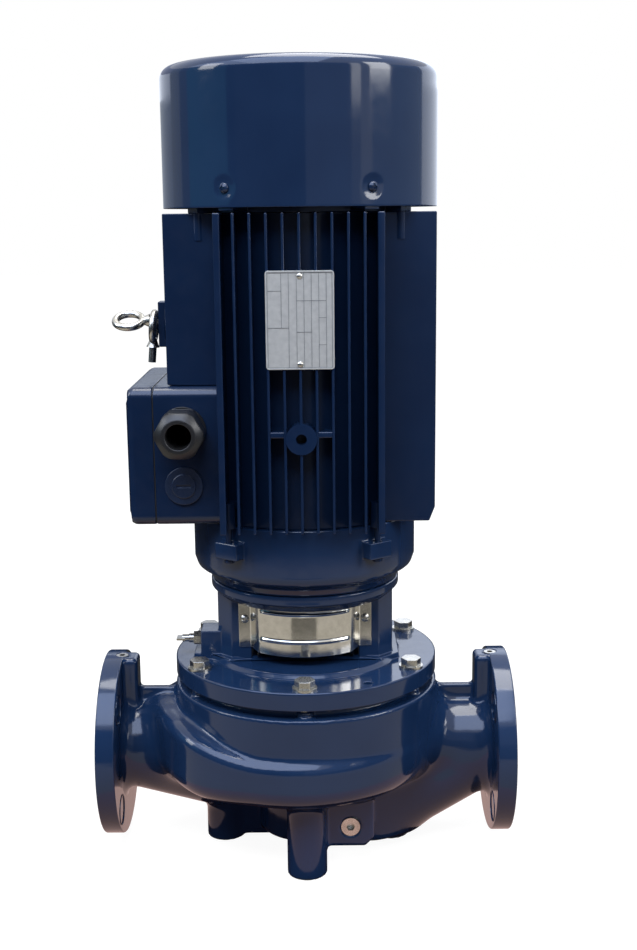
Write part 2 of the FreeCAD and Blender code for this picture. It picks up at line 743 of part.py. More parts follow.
def motor_frame():
    """Finned frame: barrel, four groups of fins, corner ribs, front boss and lifting lug."""
    low, high = frame_low, frame_high
    barrel_r = barrel_dia / 2
    half = fin_count // 2
    solids = [disc(barrel_dia, low, high)]
    root = barrel_r * 0.55
    sides = ((fin_reach_front, 0), (fin_reach_side, 90), (fin_reach_front, 180), (fin_reach_side, 270))
    for reach, turn in sides:
        for i in range(-half, half + 1):
            x = i * fin_pitch
            fin = box(x - fin_thick / 2, -reach, low + 1, x + fin_thick / 2, -root, high)
            solids.append(turned_by(fin, turn))
        for side in (-1, 1):
            x = side * (half + 1) * fin_pitch
            rib = box(x - rib_thick / 2, -reach, low + 1, x + rib_thick / 2, -root, high)
            solids.append(turned_by(rib, turn))
    boss_y = -fin_reach_front - 1.5
    boss = rod(front_boss_dia, Vec(0, boss_y, front_boss_height), Vec(0, 1, 0), 34)
    arm = box(-2 * fin_pitch, -fin_reach_front + 1, front_boss_height + 1, 2 * fin_pitch, -barrel_r + 6,
              front_boss_height + 7)
    solids += [boss, arm]
    pad = box(-plate_width / 2 + 4, -fin_reach_front, plate_mid - plate_height / 2 + 4, plate_width / 2 - 4,
              -barrel_r + 6, plate_mid + plate_height / 2 - 4)
    solids.append(pad)
    lug = box(-lug_face_x, -9, eye_height - 27, -barrel_r + 6, 9, eye_height + 20)
    solids.append(lug)
    for place in shield_bolt_places(lug_angle):
        solids.append(rod(frame_boss_dia, Vec(place.x, place.y, low), UP, 26))
    for place in shield_bolt_places(90 - lug_angle):
        solids.append(rod(frame_boss_dia, Vec(place.x, place.y, high - 26), UP, 26))
    body = fused(solids)
    clear = 1.0
    cuts = [disc(frame_bore, low - 1, high + 1)]
    cuts.append(box(-half_span, -box_half_width - clear, box_low - clear, -barrel_r, box_half_width + clear,
                    box_top + clear))
    for side in (-1, 1):
        wedge = Part.Face(Part.makePolygon([Vec(side * x, -half_span, z) for x, z in plate_corner()]))
        cuts.append(wedge.extrude(Vec(0, port_span, 0)))
    cuts.append(terminal_space(0.3))
    cuts.append(rod(front_boss_hole, Vec(0, boss_y - 1, front_boss_height), Vec(0, 1, 0), 26))
    cuts.append(rod(eye_shank_dia, Vec(-lug_face_x - 1, 0, eye_height), Vec(1, 0, 0), 20))
    cuts.append(box(-lug_face_x + 7, -20, eye_height - 20, -fin_reach_side, 20, eye_height - 7))
    cuts.append(rod(36, Vec(-barrel_r - 8, 0, box_top - box_height / 2), Vec(1, 0, 0), 20))
    for bolt in shield_bolt_places(lug_angle):
        cuts.append(rod(shield_bolt, Vec(bolt.x, bolt.y, low - 1), UP, 20))
    for bolt in shield_bolt_places(90 - lug_angle):
        cuts.append(rod(shield_bolt, Vec(bolt.x, bolt.y, high - 19), UP, 20))
    return body.cut(cuts).removeSplitter()


def plate_corner():
    """Wedge (x, z) that slants the lower outer corner of the right and left fins."""
    low = frame_low
    return [(fin_reach_side - fin_slant, low), (fin_reach_side + 1, low), (fin_reach_side + 1, low + 2.6 * fin_slant),
            (fin_reach_side, low + 2.6 * fin_slant), (fin_reach_side - fin_slant, low)]


def terminal_space(grow):
    """Block that the terminal box fills outside the barrel, grown by a clearance."""
    block = box(-box_outer_x - grow, -box_half_width - grow, box_top - box_height - grow,
                -box_inner_x + grow, box_half_width + grow, box_top + grow)
    return block.cut(disc(barrel_dia, box_top - box_height - 5, box_top + 5))


def upper_end_shield():
    """Dished shield with the upper bearing and four lugs for the fan cover."""
    low = frame_high
    high = low + upper_shield_height
    r = barrel_dia / 2
    house = bearing_dia / 2
    outside = turned([(0, low), (r, low), (r, low + 8), (r - 30, low + 20), (house + 10, low + 28),
                      (house + 10, upper_bearing + 14), (0, upper_bearing + 14)])
    register = disc(frame_bore - 2 * fit, low - 5, low + 1)
    arms = []
    reach = cover_dia / 2 - cover_wall - seat
    for angle in cover_screw_angles():
        arms.append(turned_by(box(-8, -reach, low + 2, 8, -r + 20, cover_low + cover_screw_drop + 8), angle))
    for angle in four_angles(90 - lug_angle):
        arms.append(turned_by(box(-9, -lug_reach, low, 9, -r + 20, low + 8), angle))
    limit = disc(2 * reach, low, high + 20)
    body = fused([outside, register] + [arm.common(limit) for arm in arms])
    cavity = turned([(house + 6, low + 18), (r - 32, low + 12), (r - 14, low - 6), (0, low - 6), (0, low + 2),
                     (house + 6, low + 2)])
    cuts = [cavity, disc(bearing_dia + 2 * fit, low - 6, upper_bearing + bearing_width / 2 + 2.5)]
    cuts.append(disc(bearing_seat_dia - 2, low, low + 60))
    for bolt in shield_bolt_places(90 - lug_angle):
        cuts.append(rod(shield_bolt + 0.6, Vec(bolt.x, bolt.y, low - 6), UP, 60))
    for angle in cover_screw_angles():
        hole = rod(5.0, Vec(0, -reach - 1, cover_low + cover_screw_drop), Vec(0, 1, 0), 16)
        cuts.append(turned_by(hole, angle))
    return body.cut(cuts).removeSplitter()


def cover_screw_angles():
    """Angles from the front of the four fan cover screws."""
    return four_angles(cover_screw_angle)


def shield_bolts():
    """Four bolts up into the frame's lower end and four down into its upper end."""
    bolts = []
    under = motor_face + lug_rise
    for place in shield_bolt_places(lug_angle):
        shank = frame_low + 14 - under
        bolts.append(hex_bolt(Vec(place.x, place.y, under), Vec(0, 0, -1), shield_bolt, shank, fit))
    for place in shield_bolt_places(90 - lug_angle):
        bolts.append(hex_bolt(Vec(place.x, place.y, frame_high + 8), UP, shield_bolt, 24, fit))
    return bolts


def stator():
    """Laminated stator core with open slots, and its two rings of end turns."""
    low, high = stator_mid - stator_length / 2, stator_mid + stator_length / 2
    core = ring(frame_bore - 2 * fit, stator_bore, low, high)
    slot_deep = stator_bore / 2 + 22
    slot = box(-3, -slot_deep, low - 1, 3, -stator_bore / 2 + 5, high + 1)
    core = core.cut(around(slot, 24))
    coils = []
    for start, end in ((low - winding_height, low - 0.5), (high + 0.5, high + winding_height)):
        inner = stator_bore + 6
        outer = 2 * slot_deep + 8
        mid = (inner + outer) / 2
        section = turned([(inner / 2, start + 6), (inner / 2 + 6, start), (mid / 2 + 6, start),
                          (outer / 2, start + 8), (outer / 2, end - 4), (outer / 2 - 4, end),
                          (inner / 2 + 4, end), (inner / 2, end - 4)])
        coils.append(section)
    return core, coils


def rotor_core():
    """Rotor core with its cast end rings and short cooling paddles."""
    low, high = stator_mid - stator_length / 2, stator_mid + stator_length / 2
    dia = stator_bore - 2 * rotor_gap
    bore = shaft_body_dia + 2 * fit
    core = ring(dia, bore, low, high)
    rings = [ring(dia - 6, dia - 46, low - 14, low + 1), ring(dia - 6, dia - 46, high - 1, high + 14)]
    paddles = []
    for base in (low - 26, high + 12):
        paddle = box(-1.5, -dia / 2 + 5, base, 1.5, -dia / 2 + 20, base + 14)
        paddles += around(paddle, 10)
    return fused([core] + rings + paddles)


def motor_shaft():
    """Stepped motor shaft with keyway, bearing seats and fan seat."""
    end_r = shaft_end_dia / 2
    seat_r = bearing_seat_dia / 2
    body_r = shaft_body_dia / 2
    fan_r = fan_seat_dia / 2
    low = motor_face - shaft_end_length
    lower = lower_bearing + bearing_width / 2
    upper = upper_bearing - bearing_width / 2
    top = fan_mid() + 22
    shaft = turned([(0, low), (end_r - 1, low), (end_r, low + 1), (end_r, motor_face - 1), (seat_r, motor_face),
                    (seat_r, lower), (body_r, lower), (body_r, upper), (seat_r, upper),
                    (seat_r, upper_bearing + bearing_width / 2), (fan_r, upper_bearing + bearing_width / 2 + 0.5),
                    (fan_r, top), (0, top)])
    half = shaft_key_width / 2 + fit
    shaft = shaft.cut(box(-half, end_r - shaft_key_depth, motor_face - shaft_key_below - 1,
                          half, end_r + 1, motor_face - shaft_key_above + 1))
    groove = ring(fan_seat_dia + 4, fan_seat_dia - 3, fan_mid() + 15.9, fan_mid() + 17.6)
    return shaft.cut(groove)


def fan_mid():
    """Height of the fan hub's middle."""
    return upper_bearing + 46


def fan():
    """Radial fan: hub, back disc and straight blades that run either way."""
    mid = fan_mid()
    hub = ring(52, fan_seat_dia + 2 * fit, mid - 15, mid + 15.5)
    plate = turned([(20, mid - 14), (fan_dia / 2, mid - 6), (fan_dia / 2, mid - 3), (20, mid - 10)])
    blade = box(-1.5, -fan_dia / 2, mid - 5, 1.5, -24, mid - 5 + fan_blade_height)
    tip = turned([(0, mid - 20), (fan_dia / 2, mid - 20), (fan_dia / 2, mid + 20),
                  (fan_dia / 2 - 26, mid + 60), (0, mid + 60)])
    return fused([hub, plate] + [b.common(tip) for b in around(blade, fan_blade_count)])


def fan_cover():
    """Drawn steel hood with a rounded top edge and an air grille."""
    r = cover_dia / 2
    w = cover_wall
    e = cover_edge_radius
    top = cover_top
    bend = e * (1 - math.sqrt(0.5))
    bend_in = (e - w) * (1 - math.sqrt(0.5))
    outer_arc = Part.Arc(Vec(r, 0, top - e), Vec(r - bend, 0, top - bend), Vec(r - e, 0, top)).toShape()
    inner_arc = Part.Arc(Vec(r - e, 0, top - w), Vec(r - w - bend_in, 0, top - w - bend_in),
                         Vec(r - w, 0, top - e)).toShape()
    edges = [Part.makeLine(Vec(r, 0, cover_low), Vec(r, 0, top - e)), outer_arc,
             Part.makeLine(Vec(r - e, 0, top), Vec(0, 0, top)),
             Part.makeLine(Vec(0, 0, top), Vec(0, 0, top - w)),
             Part.makeLine(Vec(0, 0, top - w), Vec(r - e, 0, top - w)), inner_arc,
             Part.makeLine(Vec(r - w, 0, top - e), Vec(r - w, 0, cover_low)),
             Part.makeLine(Vec(r - w, 0, cover_low), Vec(r, 0, cover_low))]
    hood = Part.Face(Part.Wire(edges)).revolve(Vec(0, 0, 0), UP, 360)
    cuts = []
    pitch = grille_slot + grille_bar
    spokes = around(box(-5, 0, top - 10, 5, r, top + 10), grille_spokes)
    for i in range(grille_ring_count):
        inner = 24 + i * pitch
        slot = ring(2 * (inner + grille_slot), 2 * inner, top - w - 1, top + 1)
        cuts.append(slot.cut(spokes))
    for angle in cover_screw_angles():
        hole = rod(5.6, Vec(0, -r - 1, cover_low + cover_screw_drop), Vec(0, 1, 0), 8)
        cuts.append(turned_by(hole, angle))
    return hood.cut(cuts)


def cover_screws():
    """Four screws that hold the fan cover on the shield's lugs."""
    base = Vec(0, -cover_dia / 2 - 0.1, cover_low + cover_screw_drop)
    return at_angles(round_screw(base, Vec(0, -1, 0), cover_screw, cover_screw_length), cover_screw_angles())


def rounded_block(x0, x1, half, low, high, radius):
    """Block whose outer upright corners and outer top and bottom edges are rounded."""
    block = box(x0, -half, low, x1, half, high)
    sharp = [e for e in block.Edges if abs(e.Curve.Direction.x) > 0.9] if radius else []
    return block.makeFillet(radius, sharp) if sharp else block


def terminal_box():
    """Box base on the frame's left side, hollow, with two cable entries in front."""
    low, high = box_top - box_height, box_top
    split = box_split_x
    half = box_half_width
    w = box_wall
    body = rounded_block(-split + gasket_thick / 2, -box_inner_x, half, low, high, box_corner)
    hollow = box(-split - 1, -half + w, low + w, -box_inner_x - w, half - w, high - w)
    hollow = hollow.cut(disc(barrel_dia + 2 * w, low - 1, high + 1))
    mid = (low + high) / 2
    pad = box(board_face(), board_low_y, mid - 26, -barrel_dia / 2 + 30, board_low_y + 50, mid + 26)
    wall = disc(barrel_dia + 0.2, low - 1, high + 1)
    body = body.cut(hollow).fuse(pad).cut(wall)
    body = body.cut(rod(34, Vec(-barrel_dia / 2 - 20, 0, mid), Vec(1, 0, 0), 40))
    posts = [rod(11, Vec(-split + gasket_thick / 2, y, z), Vec(1, 0, 0), 18) for y, z in cover_screw_spots()]
    body = fused([body] + [p.common(rounded_block(-split + 0.5, -box_inner_x, half, low, high, box_corner))
                           for p in posts])
    cuts = [rod(4.8, Vec(-split - 1, y, z), Vec(1, 0, 0), 18) for y, z in cover_screw_spots()]
    cuts.append(rod(32, Vec(-gland_x, -half - 1, gland_height), Vec(0, 1, 0), w + 2))
    cuts.append(rod(plug_dia - 8, Vec(-gland_x, -half - 1, gland_height - gland_pitch), Vec(0, 1, 0), w + 2))
    return body.cut(cuts).removeSplitter()


def cover_screw_spots():
    """Positions (y, z) of the four box cover screws."""
    y = box_half_width - 9
    low, high = box_top - box_height + 9, box_top - 9
    return [(-y, low), (y, low), (-y, high), (y, high)]


def terminal_box_cover():
    """Shallow cover with a rounded outer edge, bolted to the box."""
    low, high = box_top - box_height, box_top
    outer = box_outer_x
    inner = box_split_x + gasket_thick / 2
    block = box(-outer, -box_half_width, low, -inner, box_half_width, high)
    length = [e for e in block.Edges if abs(e.Curve.Direction.x) > 0.9]
    block = block.makeFillet(box_corner, length)
    rim = [e for e in block.Edges if e.BoundBox.XMax < -outer + 0.01]
    block = block.makeFillet(box_corner * 0.8, rim)
    w = box_wall
    hollow = box(-outer + w, -box_half_width + 16, low + 16, -inner + 1, box_half_width - 16, high - 16)
    holes = [rod(5.4, Vec(-outer - 1, y, z), Vec(1, 0, 0), 40) for y, z in cover_screw_spots()]
    heads = [rod(11.4, Vec(-outer - 1, y, z), Vec(1, 0, 0), 10) for y, z in cover_screw_spots()]
    return block.cut([hollow] + holes + heads)


def box_gasket():
    """Flat gasket between the box and its cover."""
    low, high = box_top - box_height, box_top
    x0, x1 = -box_split_x - gasket_thick / 2, -box_split_x + gasket_thick / 2
    plate = rounded_block(x0, x1, box_half_width - 0.5, low + 0.5, high - 0.5, box_corner)
    window = box(x0 - 1, -box_half_width + 16, low + 16, x1 + 1, box_half_width - 16, high - 16)
    holes = [rod(5.4, Vec(x0 - 1, y, z), Vec(1, 0, 0), 4) for y, z in cover_screw_spots()]
    return plate.cut([window] + holes)


def box_cover_screws():
    """Four socket head screws of the terminal box cover."""
    screws = []
    head_x = -box_outer_x + 9
    for y, z in cover_screw_spots():
        head = rod(9, Vec(head_x, y, z), Vec(-1, 0, 0), 5)
        head = head.cut(hexagon(4, Vec(head_x - 2.5, y, z), Vec(-1, 0, 0), 4))
        shank = rod(4.74, Vec(head_x - 0.01, y, z), Vec(1, 0, 0), box_outer_x - 9 - box_split_x + 13)
        screws.append(head.fuse(shank))
    return screws


def board_face():
    """X of the pad that carries the terminal board."""
    return -barrel_dia / 2 - box_wall - 2


def terminal_board():
    """Terminal board on its pad inside the box, and its six studs with nuts."""
    mid = box_top - box_height / 2
    x = board_face()
    board = box(x - 10, board_low_y, mid - 26, x, board_low_y + 50, mid + 26)
    studs = []
    for y in (board_low_y + 10, board_low_y + 25, board_low_y + 40):
        for z in (mid - 13, mid + 13):
            stud = rod(5, Vec(x - 10, y, z), Vec(-1, 0, 0), 14)
            nut = hexagon(8, Vec(x - 10, y, z), Vec(-1, 0, 0), 5)
            studs.append(stud.fuse(nut).removeSplitter())
    return board, studs


def cable_gland():
    """Cable gland on the box front: body with hexagon, domed nut and rubber insert."""
    face = Vec(-gland_x, -box_half_width, gland_height)
    out = Vec(0, -1, 0)
    thread = rod(31.6, face - out * (box_wall + 6), out, box_wall + 7)
    flange = rod(gland_dia - 1, face, out, 3)
    collar = hexagon(42, face + out * 3, out, 9)
    sleeve = rod(34, face + out * 12, out, 8)
    body = fused([thread, flange, collar, sleeve])
    bore = rod(gland_bore, face - out * 20, out, 80)
    seal_space = rod(30, face + out * 6, out, 40)
    body = body.cut([bore, seal_space])
    start = 12.4
    nut_r = gland_dia / 2
    nut = hexagon(gland_dia - 3, face + out * start, out, gland_reach - start)
    dome = Part.makeSphere(nut_r * 1.25, face + out * (gland_reach - nut_r * 1.05))
    shell = rod(gland_dia, face + out * start, out, gland_reach - start)
    nut = nut.common(dome).common(shell)
    nut = nut.cut([rod(34.2, face, out, 20.2), rod(30.2, face, out, gland_reach - 8), bore])
    seal = rod(29.6, face + out * 6.2, out, gland_reach - 15)
    seal = seal.cut(rod(gland_bore, face - out * 20, out, 80))
    return body, nut, seal


def blanking_plug():
    """Blanking plug of the spare cable entry, with a slotted raised disc."""
    face = Vec(-gland_x, -box_half_width, gland_height - gland_pitch)
    out = Vec(0, -1, 0)
    body = fused([rod(plug_dia - 8.4, face - out * (box_wall + 2), out, box_wall + 3),
                  rod(plug_dia, face, out, 3), rod(plug_dia - 14, face, out, 4.6)])
    return body.cut(box(face.x - 7, face.y - 6, face.z - 1.2, face.x + 7, face.y - 3.2, face.z + 1.2))


def nameplate():
    """Plain plate with a raised border, on the front fins."""
    y = plate_face_y - 0.05
    low, high = plate_mid - plate_height / 2, plate_mid + plate_height / 2
    half = plate_width / 2
    plate = box(-half, y - plate_thick, low, half, y, high)
    corners = [e for e in plate.Edges if abs(e.Curve.Direction.y) > 0.9]
    plate = plate.makeFillet(3, corners)
    field = box(-half + 1.6, y - plate_thick - 1, low + 1.6, half - 1.6, y - plate_thick + 0.3, high - 1.6)
    return plate.cut([field] + [rod(3.3, Vec(0, y + 1, z), Vec(0, -1, 0), 4) for z in rivet_heights()])


def rivet_heights():
    """Heights of the two nameplate rivets."""
    return (plate_mid - plate_height / 2 + 5, plate_mid + plate_height / 2 - 5)


def nameplate_rivets():
    """Two round head rivets."""
    rivets = []
    for z in rivet_heights():
        base = Vec(0, plate_face_y - 0.05 - plate_thick + 0.3, z)
        head = Part.makeSphere(3.4, base + Vec(0, 1.4, 0)).common(rod(7, base, Vec(0, -1, 0), 3))
        rivets.append(head.fuse(rod(3.2, base + Vec(0, -0.01, 0), Vec(0, 1, 0), 0.75)))
    return rivets


def eyebolt(shank):
    """Eyebolt along X: ring to the left of the collar face at X 0, shank to the right."""
    wire = eye_wire / 2
    radius = eye_outer / 2 - wire
    centre = Vec(-eye_collar_length - eye_outer / 2 + 1.5, 0, 0)
    eye = Part.makeTorus(radius, wire, centre, UP)
    collar = Part.makeCone(eye_collar_dia / 2, eye_collar_dia / 2 - 3, eye_collar_length + 2, Vec(0, 0, 0),
                           Vec(-1, 0, 0))
    hole = rod(eye_outer - 2 * eye_wire, centre - Vec(0, 0, 20), UP, 40)
    return fused([eye, collar.cut(hole), rod(eye_shank_dia - 2 * fit, Vec(-0.01, 0, 0), Vec(1, 0, 0), shank)])


def lifting_eyebolt():
    """Eyebolt screwed into the frame's lug, its ring tilted from level."""
    bolt = eyebolt(eye_shank_length)
    bolt.rotate(Vec(0, 0, 0), Vec(1, 0, 0), eye_tilt)
    bolt.translate(Vec(-lug_face_x - eye_gap, 0, eye_height))
    return bolt


def spare_eyebolt():
    """Second eyebolt, hanging by its ring on the first one's shank."""
    bolt = eyebolt(16.0)
    bolt.rotate(Vec(0, 0, 0), Vec(0, 1, 0), 90)
    hang = eye_collar_length + eye_outer - eye_wire - 1.5 - eye_shank_dia / 2
    bolt.translate(Vec(0, 0, -hang + 0.15))
    bolt.rotate(Vec(0, 0, 0), Vec(0, 1, 0), spare_lean)
    bolt.translate(Vec(-lug_face_x - eye_gap / 2 - 0.1, 0, eye_height))
    return bolt


def vent_parts():
    """Vent body screwed into the head's boss, its turning screw, and a small top plug."""
    out = Vec(-1, 0, 0)
    body = fused([rod(vent_hex - 3 - 2 * fit, vent_pos + Vec(14, 0, 0), out, 15),
                  hexagon(vent_hex, vent_pos, out, 8), rod(10, vent_pos + out * 7, out, 6)])
    body = body.cut(rod(5, vent_pos + Vec(20, 0, 0), out, 50))
    tip = vent_pos + out * 13.4
    screw = fused([rod(4.88, vent_pos + out * 2, out, 12), rod(8, tip, out, 7)])
    wing = box(tip.x - 13, vent_pos.y - 6.5, vent_pos.z - 1, tip.x - 4, vent_pos.y + 6.5, vent_pos.z + 1)
    screw = screw.fuse(wing).removeSplitter()
    return body, screw


def seal_parts():
    """Mechanical seal: seat in the head, and the ring, bellows and spring on the shaft."""
    d = seal_shaft_dia
    roof = disc_top - 10
    r = d / 2
    outer = seal_chamber_dia / 2 - fit
    seat_ring = turned([(r + 2, roof - 9), (r + 10, roof - 9), (r + 14, roof - 6), (outer, roof - 6), (outer, roof),
                        (r + 2, roof)])
    face = ring(d + 17, d + 5, roof - 15, roof - 9 - fit)
    bellows = turned([(r + fit, roof - 34), (r + 5, roof - 34), (r + 5, roof - 22), (r + 9, roof - 19),
                      (r + 9, roof - 15), (r + 2.5, roof - 15), (r + 2.5, roof - 20), (r + fit, roof - 23)])
    coil_r = r + 8.6
    low = hub_top + 1.6
    height = roof - 22.6 - low
    w = seal_wire / 2
    coil = Part.makeHelix(height / seal_spring_turns, height, coil_r)
    corners = [Vec(coil_r - w, 0, -w), Vec(coil_r + w, 0, -w), Vec(coil_r + w, 0, w), Vec(coil_r - w, 0, w)]
    section = Part.makePolygon(corners + corners[:1])
    spring = Part.Wire(coil).makePipeShell([section], True, True)
    spring.translate(Vec(0, 0, low))
    return seat_ring, face, bellows, spring


def clamp_ring():
    """Split clamp ring round the top of the pump shaft, and its two screws."""
    top = motor_face - 14
    low = top - clamp_height
    body = ring(stub_dia + 26, stub_dia + 2 * fit, low, top)
    body = body.cut(box(-1.5, -stub_dia, low - 1, 1.5, 0, top + 1))
    screws = []
    cuts = []
    y = -stub_dia / 2 - 6.5
    for z in (low + clamp_height / 2,):
        cuts.append(rod(6.6, Vec(-40, y, z), Vec(1, 0, 0), 80))
        for side in (-1, 1):
            face = Vec(side * 12, y, z)
            cuts.append(rod(11, face, Vec(side, 0, 0), 40))
        shank = rod(6.5, Vec(-12, y, z), Vec(1, 0, 0), 24)
        for side in (-1, 1):
            shank = shank.fuse(rod(9.6, Vec(side * 12, y, z), Vec(side, 0, 0), 6))
        screws.append(shank.removeSplitter().cut(hexagon(5, Vec(15, y, z), Vec(1, 0, 0), 6)))
    return body.cut(cuts), screws


def build():
    """Make every node."""
    save("pump_casing", pump_casing())
    eye = impeller_eye_dia
    save("casing_wear_ring", ring(eye + 2 * wear_ring_wall - 2 * fit, eye + 2 * running_gap,
                                  chamber_low - wear_ring_length, chamber_low))
    groove_mid = disc_low - 12.8
    save("casing_o_ring", Part.makeTorus(register_dia / 2 - 2.6, 2.55, Vec(0, 0, groove_mid), UP))
    save("pump_head", pump_head())
    bolts, washers = head_fasteners()
    save("head_bolts", bolts)
    save("head_washers", washers)
    save("drain_plug", socket_plug(Vec(drain_offset, -drain_block_front, drain_height), Vec(0, -1, 0),
                                   drain_plug_dia - 2 * fit, 13, 8))
    plug_top = port_height + flange_dia / 2 - 1
    save("gauge_plugs", [socket_plug(Vec(s * (half_span - gauge_plug_offset), 0, plug_top), UP,
                                     gauge_plug_dia - 2 * fit, 14, 6) for s in (-1, 1)])
    save("impeller", impeller())
    thread = thread_dia() + 2 * fit
    nut = hexagon(27, Vec(0, 0, nut_low), UP, impeller_nut_height).cut(disc(thread, shaft_low, impeller_seat))
    save("impeller_nut", nut)
    save("impeller_washer", ring(34, thread, washer_low, washer_low + impeller_washer_thick))
    half = impeller_key_width / 2
    save("impeller_key", box(-half, impeller_key_depth() + 0.05, impeller_key_low, half, impeller_bore / 2 + 3.1,
                             impeller_key_high))
    save("pump_shaft", pump_shaft())
    seat_ring, face, bellows, spring = seal_parts()
    save("seal_seat", seat_ring)
    save("seal_face", face)
    save("seal_bellows", bellows)
    save("seal_spring", spring)
    guard = coupling_guard()
    save("guard_front", guard)
    save("guard_rear", turned_by(guard, 180))
    save("guard_screws", guard_screws())
    body, screw = vent_parts()
    save("vent_body", body)
    save("vent_screw", screw)
    collar, collar_screws = clamp_ring()
    save("clamp_ring", collar)
    save("clamp_screw", collar_screws)
    key_low = shaft_end_dia / 2 - shaft_key_depth + fit
    half = shaft_key_width / 2
    save("shaft_key", box(-half, key_low, motor_face - shaft_key_below, half, key_low + shaft_key_height,
                          motor_face - shaft_key_above))
    save("lower_end_shield", lower_end_shield())
    ring_low = motor_face - top_ring_thick - 3.5
    save("motor_bolts", [hex_bolt(Vec(p.x, p.y, ring_low), Vec(0, 0, -1), motor_bolt, motor_bolt_length, fit)
                         for p in motor_bolt_places()])
    save("motor_frame", motor_frame())
    save("upper_end_shield", upper_end_shield())
    save("shield_bolts", shield_bolts())
    core, coils = stator()
    save("stator_core", core)
    save("stator_windings", coils)
    save("rotor_core", rotor_core())
    save("motor_shaft", motor_shaft())
    for name, height in (("lower", lower_bearing), ("upper", upper_bearing)):
        outer, inner, balls = bearing(height)
        save(name + "_bearing_outer", outer)
        save(name + "_bearing_inner", inner)
        save(name + "_bearing_balls", balls)
    wave = upper_bearing + bearing_width / 2
    save("wave_washer", ring(bearing_dia - 2, bearing_dia - 14, wave + 0.1, wave + 2.2))
    save("shaft_seal", ring(seal_outer() - 2 * fit, bearing_seat_dia + 0.1, motor_face + 2.1, motor_face + 8.9))
    save("fan", fan())
    clip = ring(fan_seat_dia + 8, fan_seat_dia - 2.8, fan_mid() + 16, fan_mid() + 17.5)
    save("fan_circlip", clip.cut(box(-4, 0, fan_mid(), 4, 40, fan_mid() + 30)))
    save("fan_cover", fan_cover())
    save("fan_cover_screws", cover_screws())
    save("terminal_box", terminal_box())
    save("terminal_box_cover", terminal_box_cover())
    save("box_gasket", box_gasket())
    save("box_cover_screws", box_cover_screws())
    board, studs = terminal_board()
    save("terminal_board", board)
    save("terminal_studs", studs)
    gland, nut, insert = cable_gland()
    save("gland_body", gland)
    save("gland_nut", nut)
    save("gland_seal", insert)
    save("blanking_plug", blanking_plug())
    save("nameplate", nameplate())
    save("nameplate_rivets", nameplate_rivets())
    save("lifting_eyebolt", lifting_eyebolt())
    save("spare_eyebolt", spare_eyebolt())


build()
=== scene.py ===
"""Looks of a vertical in-line pump: navy enamel castings and sheet, stainless guard, plated screws.

Metres, +Z up, origin on the floor at the pump axis, ports along X, nameplate towards -Y.
"""
import json
import math

import bmesh
import bpy
import numpy as np
from mathutils import Matrix, Vector


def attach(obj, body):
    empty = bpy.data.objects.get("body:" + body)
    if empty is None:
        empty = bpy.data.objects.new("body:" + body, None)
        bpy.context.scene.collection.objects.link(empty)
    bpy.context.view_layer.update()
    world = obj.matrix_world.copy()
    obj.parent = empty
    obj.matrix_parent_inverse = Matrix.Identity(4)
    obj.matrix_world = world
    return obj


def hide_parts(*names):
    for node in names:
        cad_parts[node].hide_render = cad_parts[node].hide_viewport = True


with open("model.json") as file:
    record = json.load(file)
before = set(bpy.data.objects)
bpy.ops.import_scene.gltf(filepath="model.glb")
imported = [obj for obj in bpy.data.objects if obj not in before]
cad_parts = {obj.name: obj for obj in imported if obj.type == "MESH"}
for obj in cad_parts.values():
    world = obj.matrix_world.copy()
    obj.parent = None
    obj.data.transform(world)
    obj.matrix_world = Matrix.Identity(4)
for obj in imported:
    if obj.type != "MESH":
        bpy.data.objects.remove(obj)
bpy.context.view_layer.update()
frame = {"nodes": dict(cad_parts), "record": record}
MM = 0.001

# Camera, fitted to the photograph
CAMERA_PLACE = Vector((0.0179, -1.3703, 0.6820))
CAMERA_PITCH = math.radians(-11.206)
CAMERA_YAW = math.radians(-0.088)
CAMERA_ROLL = math.radians(-0.599)
CAMERA_LENS = 49.47
CAMERA_NEAR = 0.05


def linear(code):
    """Linear colour from an sRGB hex code, by the sRGB curve."""
    parts = [int(code[i:i + 2], 16) / 255 for i in (1, 3, 5)]
    return tuple(c / 12.92 if c <= 0.04045 else ((c + 0.055) / 1.055) ** 2.4 for c in parts) + (1.0,)


def add(tree, kind, inputs=None, **settings):
    """Add a shader node, set its properties, and set or link its inputs."""
    made = tree.nodes.new("ShaderNode" + kind)
    for name, value in settings.items():
        setattr(made, name, value)
    for name, value in (inputs or {}).items():
        if isinstance(value, bpy.types.NodeSocket):
            tree.links.new(value, made.inputs[name])
        else:
            made.inputs[name].default_value = value
    return made


def empty_tree(owner):
    """Cleared node tree of a material or a world."""
    owner.use_nodes = True
    owner.node_tree.nodes.clear()
    return owner.node_tree


def noise(tree, size_mm, detail=2.0, roughness=0.5):
    """Noise on the object's own coordinates with features of a real size."""
    place = add(tree, "TexCoord").outputs["Object"]
    return add(tree, "TexNoise", {"Vector": place, "Scale": 1000 / size_mm, "Detail": detail,
                                  "Roughness": roughness}).outputs["Fac"]


def ramp(tree, factor, low, high, start=0.3, end=0.7):
    """Colour or grey between two values as the factor goes from start to end."""
    made = add(tree, "ValToRGB", {"Fac": factor})
    for element, place, value in zip(made.color_ramp.elements, (start, end), (low, high)):
        element.position = place
        element.color = value if isinstance(value, tuple) else (value, value, value, 1.0)
    return made.outputs["Color"]


def bump(tree, height, depth_mm, normal=None):
    """Bump from a height field, of a real depth."""
    inputs = {"Height": height, "Strength": 1.0, "Distance": depth_mm * MM}
    if normal is not None:
        inputs["Normal"] = normal
    return add(tree, "Bump", inputs).outputs["Normal"]


